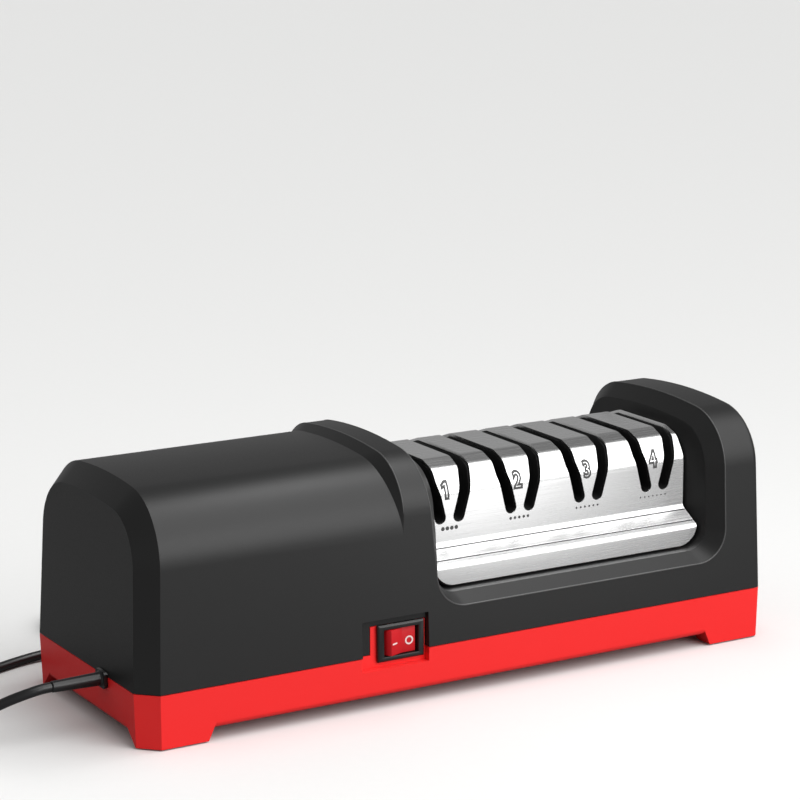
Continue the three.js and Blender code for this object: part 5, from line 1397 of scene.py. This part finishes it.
class SHARPENER_OT_switch(bpy.types.Operator):
    """Fit the switch's bezel and its red rocker"""
    bl_idname = "sharpener.switch"
    bl_label = "Rocker switch"

    def execute(self, context):
        body = copy_of("switch_body")
        body.name = "switch_moulding"
        soften(body, 0.18 * MM, 30)
        smooth(body)
        dress(body, switch_plastic(), "housing", "black_plastic", "switch_body")
        dress(self.rocker(), rocker_plastic(), "rocker", "red_lens", "switch_rocker")
        self.marks()
        return {"FINISHED"}

    def turn(self, x, y):
        """A point of the rocker's own drawing, turned to its rest and set on its pivot."""
        spot = Matrix.Rotation(SWITCH.throw, 2) @ Vector((x, y))
        return SWITCH.x + spot.x, BEZEL_FACE + SWITCH.pivot + spot.y

    def rocker(self):
        half, middle = SWITCH.half, SWITCH.proud - SWITCH.pivot
        tip = math.atan2(SWITCH.pivot - SWITCH.proud, half)
        back = math.atan2(SWITCH.back, half)
        wing = []
        for k in range(11):
            angle = tip + SWITCH.throw - (tip + SWITCH.throw + back) * k / 10
            wing.append((half * math.cos(angle), -half * math.sin(angle)))
        outline = [(0, middle), *wing, (0, SWITCH.pivot), *[(-x, y) for x, y in reversed(wing)]]
        # A soft valley between the wings, and a fine edge at each tip
        outline = rounded(outline, [1.5, 0.3] + [0] * (len(outline) - 3) + [0.3], 5)
        piece = prism("rocker_moulding", [self.turn(x, y) for x, y in outline], "z",
                      SWITCH.z - SWITCH.height / 2, SWITCH.z + SWITCH.height / 2)
        soften(piece, 0.25 * MM, 40)
        return smooth(piece, 35)

    def marks(self):
        """A bar and a ring, printed on the two wings."""
        ink_white = ink("White ink", linear("#f0d6d4"))
        slope = math.tan(SWITCH.throw)
        middle = SWITCH.proud - SWITCH.pivot

        def on_wing(u, w, side, depth):
            x, y = self.turn(side * u, middle - u * slope - depth)
            return x, y, SWITCH.z + w

        u, w = MARKS.ring
        inner, outer = MARKS.ring_radii
        rings = []
        for k in range(33):
            angle = 2 * math.pi * k / 32
            cosine, sine = math.cos(angle), math.sin(angle)
            rings.append([on_wing(u + radius * cosine, w + radius * sine, 1, depth)
                          for radius, depth in ((inner, 0), (inner, MARKS.film),
                                                (outer, MARKS.film), (outer, 0))])
        off = skin("off_ring", rings, holes=False)
        dress(off, ink_white, "rocker", "red_lens")
        outline = rounded(box_outline(*MARKS.bar), 0.25, 4)
        on = skin("on_bar", [[on_wing(u, w, -1, depth) for u, w in outline]
                             for depth in (0, MARKS.film)])
        dress(on, ink_white, "rocker", "red_lens")


class SHARPENER_OT_drive(bpy.types.Operator):
    """Finish the discs and springs, and give the hidden drive its materials"""
    bl_idname = "sharpener.drive"
    bl_label = "Drive"

    def execute(self, context):
        for i, centre in enumerate(STAGES, 1):
            for side, name in ((-1, "left"), (1, "right")):
                self.disc(i, centre, side, name)
            self.spring(i, centre)
        finishes = {
            "nylon": natural_nylon, "steel": ground_steel, "zinc_plate": zinc,
            "rubber": soft_rubber, "copper": copper, "ferrite": ferrite, "carbon": carbon,
            "board": circuit_board, "black_plastic": guide_nylon, "vinyl": lead_pvc,
            "red_abs": red_abs, "black_abs": black_abs, "brushed_steel": cover_steel,
            "red_lens": rocker_plastic, "diamond": diamond_plate,
        }
        slots = {part["node"]: part["material_slot"] for part in frame["record"]["subparts"]}
        for node, piece in frame["nodes"].items():
            material = finishes[slots[node]]()
            piece.data.materials.clear()
            piece.data.materials.append(material)
        return {"FINISHED"}

    def disc(self, index, centre, side, name):
        outer, inner = DISC.face, DISC.face - DISC.thickness
        r, e = DISC.radius, DISC.edge
        profile = [
            (outer, DISC.bore), (outer - 0.15, DISC.bore + 3), (outer - 0.15, r - DISC.band),
            (outer, r - DISC.band + 0.3), (outer, r - e), (outer - e * 0.3, r - e * 0.3),
            (outer - e, r), (inner, r), (inner, DISC.bore),
        ]
        flat = [(centre + side * along, radius) for along, radius in profile + profile[:1]]
        piece = turned(f"abrasive_disc_{index}_{name}", flat, sides=96)
        smooth(piece, 30)
        dress(piece, diamond_plate(), f"disc_{index}_{name}", "diamond",
              f"stage_{index}_disc_{name}")

    def spring(self, index, centre):
        length = 2 * (DISC.face - DISC.thickness - TOUCH) - SPRING.wire
        points = []
        steps = 36 * SPRING.turns
        for k in range(steps + 1):
            t = k / steps
            angle = 2 * math.pi * SPRING.turns * t
            radius = SPRING.inner + (SPRING.outer - SPRING.inner) * t
            points.append((centre + length * (t - 0.5), radius * math.cos(angle),
                           AXIS_Z + radius * math.sin(angle)))
        piece = tube(f"conical_spring_{index}", points, lambda t: SPRING.wire / 2)
        smooth(piece, 40)
        dress(piece, ground_steel(), "spindle", "steel", f"stage_{index}_spring")


OPERATORS = (
    SHARPENER_OT_studio, SHARPENER_OT_lead, SHARPENER_OT_casing, SHARPENER_OT_base,
    SHARPENER_OT_cover, SHARPENER_OT_guide, SHARPENER_OT_switch, SHARPENER_OT_drive,
)


class SHARPENER_PT_panel(bpy.types.Panel):
    """Lists the sharpener's pieces and what can be changed on them"""
    bl_label = "Knife sharpener"
    bl_idname = "SHARPENER_PT_panel"
    bl_space_type = "VIEW_3D"
    bl_region_type = "UI"
    bl_category = "Sharpener"

    def draw(self, context):
        for group in (context.scene.sharpener_colours, context.scene.sharpener_sizes):
            box = self.layout.box()
            for name in group.__annotations__:
                box.prop(group, name)
        for operator in OPERATORS:
            self.layout.operator(operator.bl_idname)


CLASSES = (SharpenerColours, SharpenerSizes, *OPERATORS, SHARPENER_PT_panel)


def register():
    for item in CLASSES:
        bpy.utils.register_class(item)
    bpy.types.Scene.sharpener_colours = PointerProperty(type=SharpenerColours)
    bpy.types.Scene.sharpener_sizes = PointerProperty(type=SharpenerSizes)


def unregister():
    del bpy.types.Scene.sharpener_sizes
    del bpy.types.Scene.sharpener_colours
    for item in reversed(CLASSES):
        bpy.utils.unregister_class(item)


def main():
    register()
    bpy.ops.sharpener.studio()
    bpy.ops.sharpener.lead()
    bpy.ops.sharpener.casing()
    bpy.ops.sharpener.base()
    bpy.ops.sharpener.cover()
    bpy.ops.sharpener.guide()
    bpy.ops.sharpener.switch()
    bpy.ops.sharpener.drive()


if __name__ == "__main__":
    main()
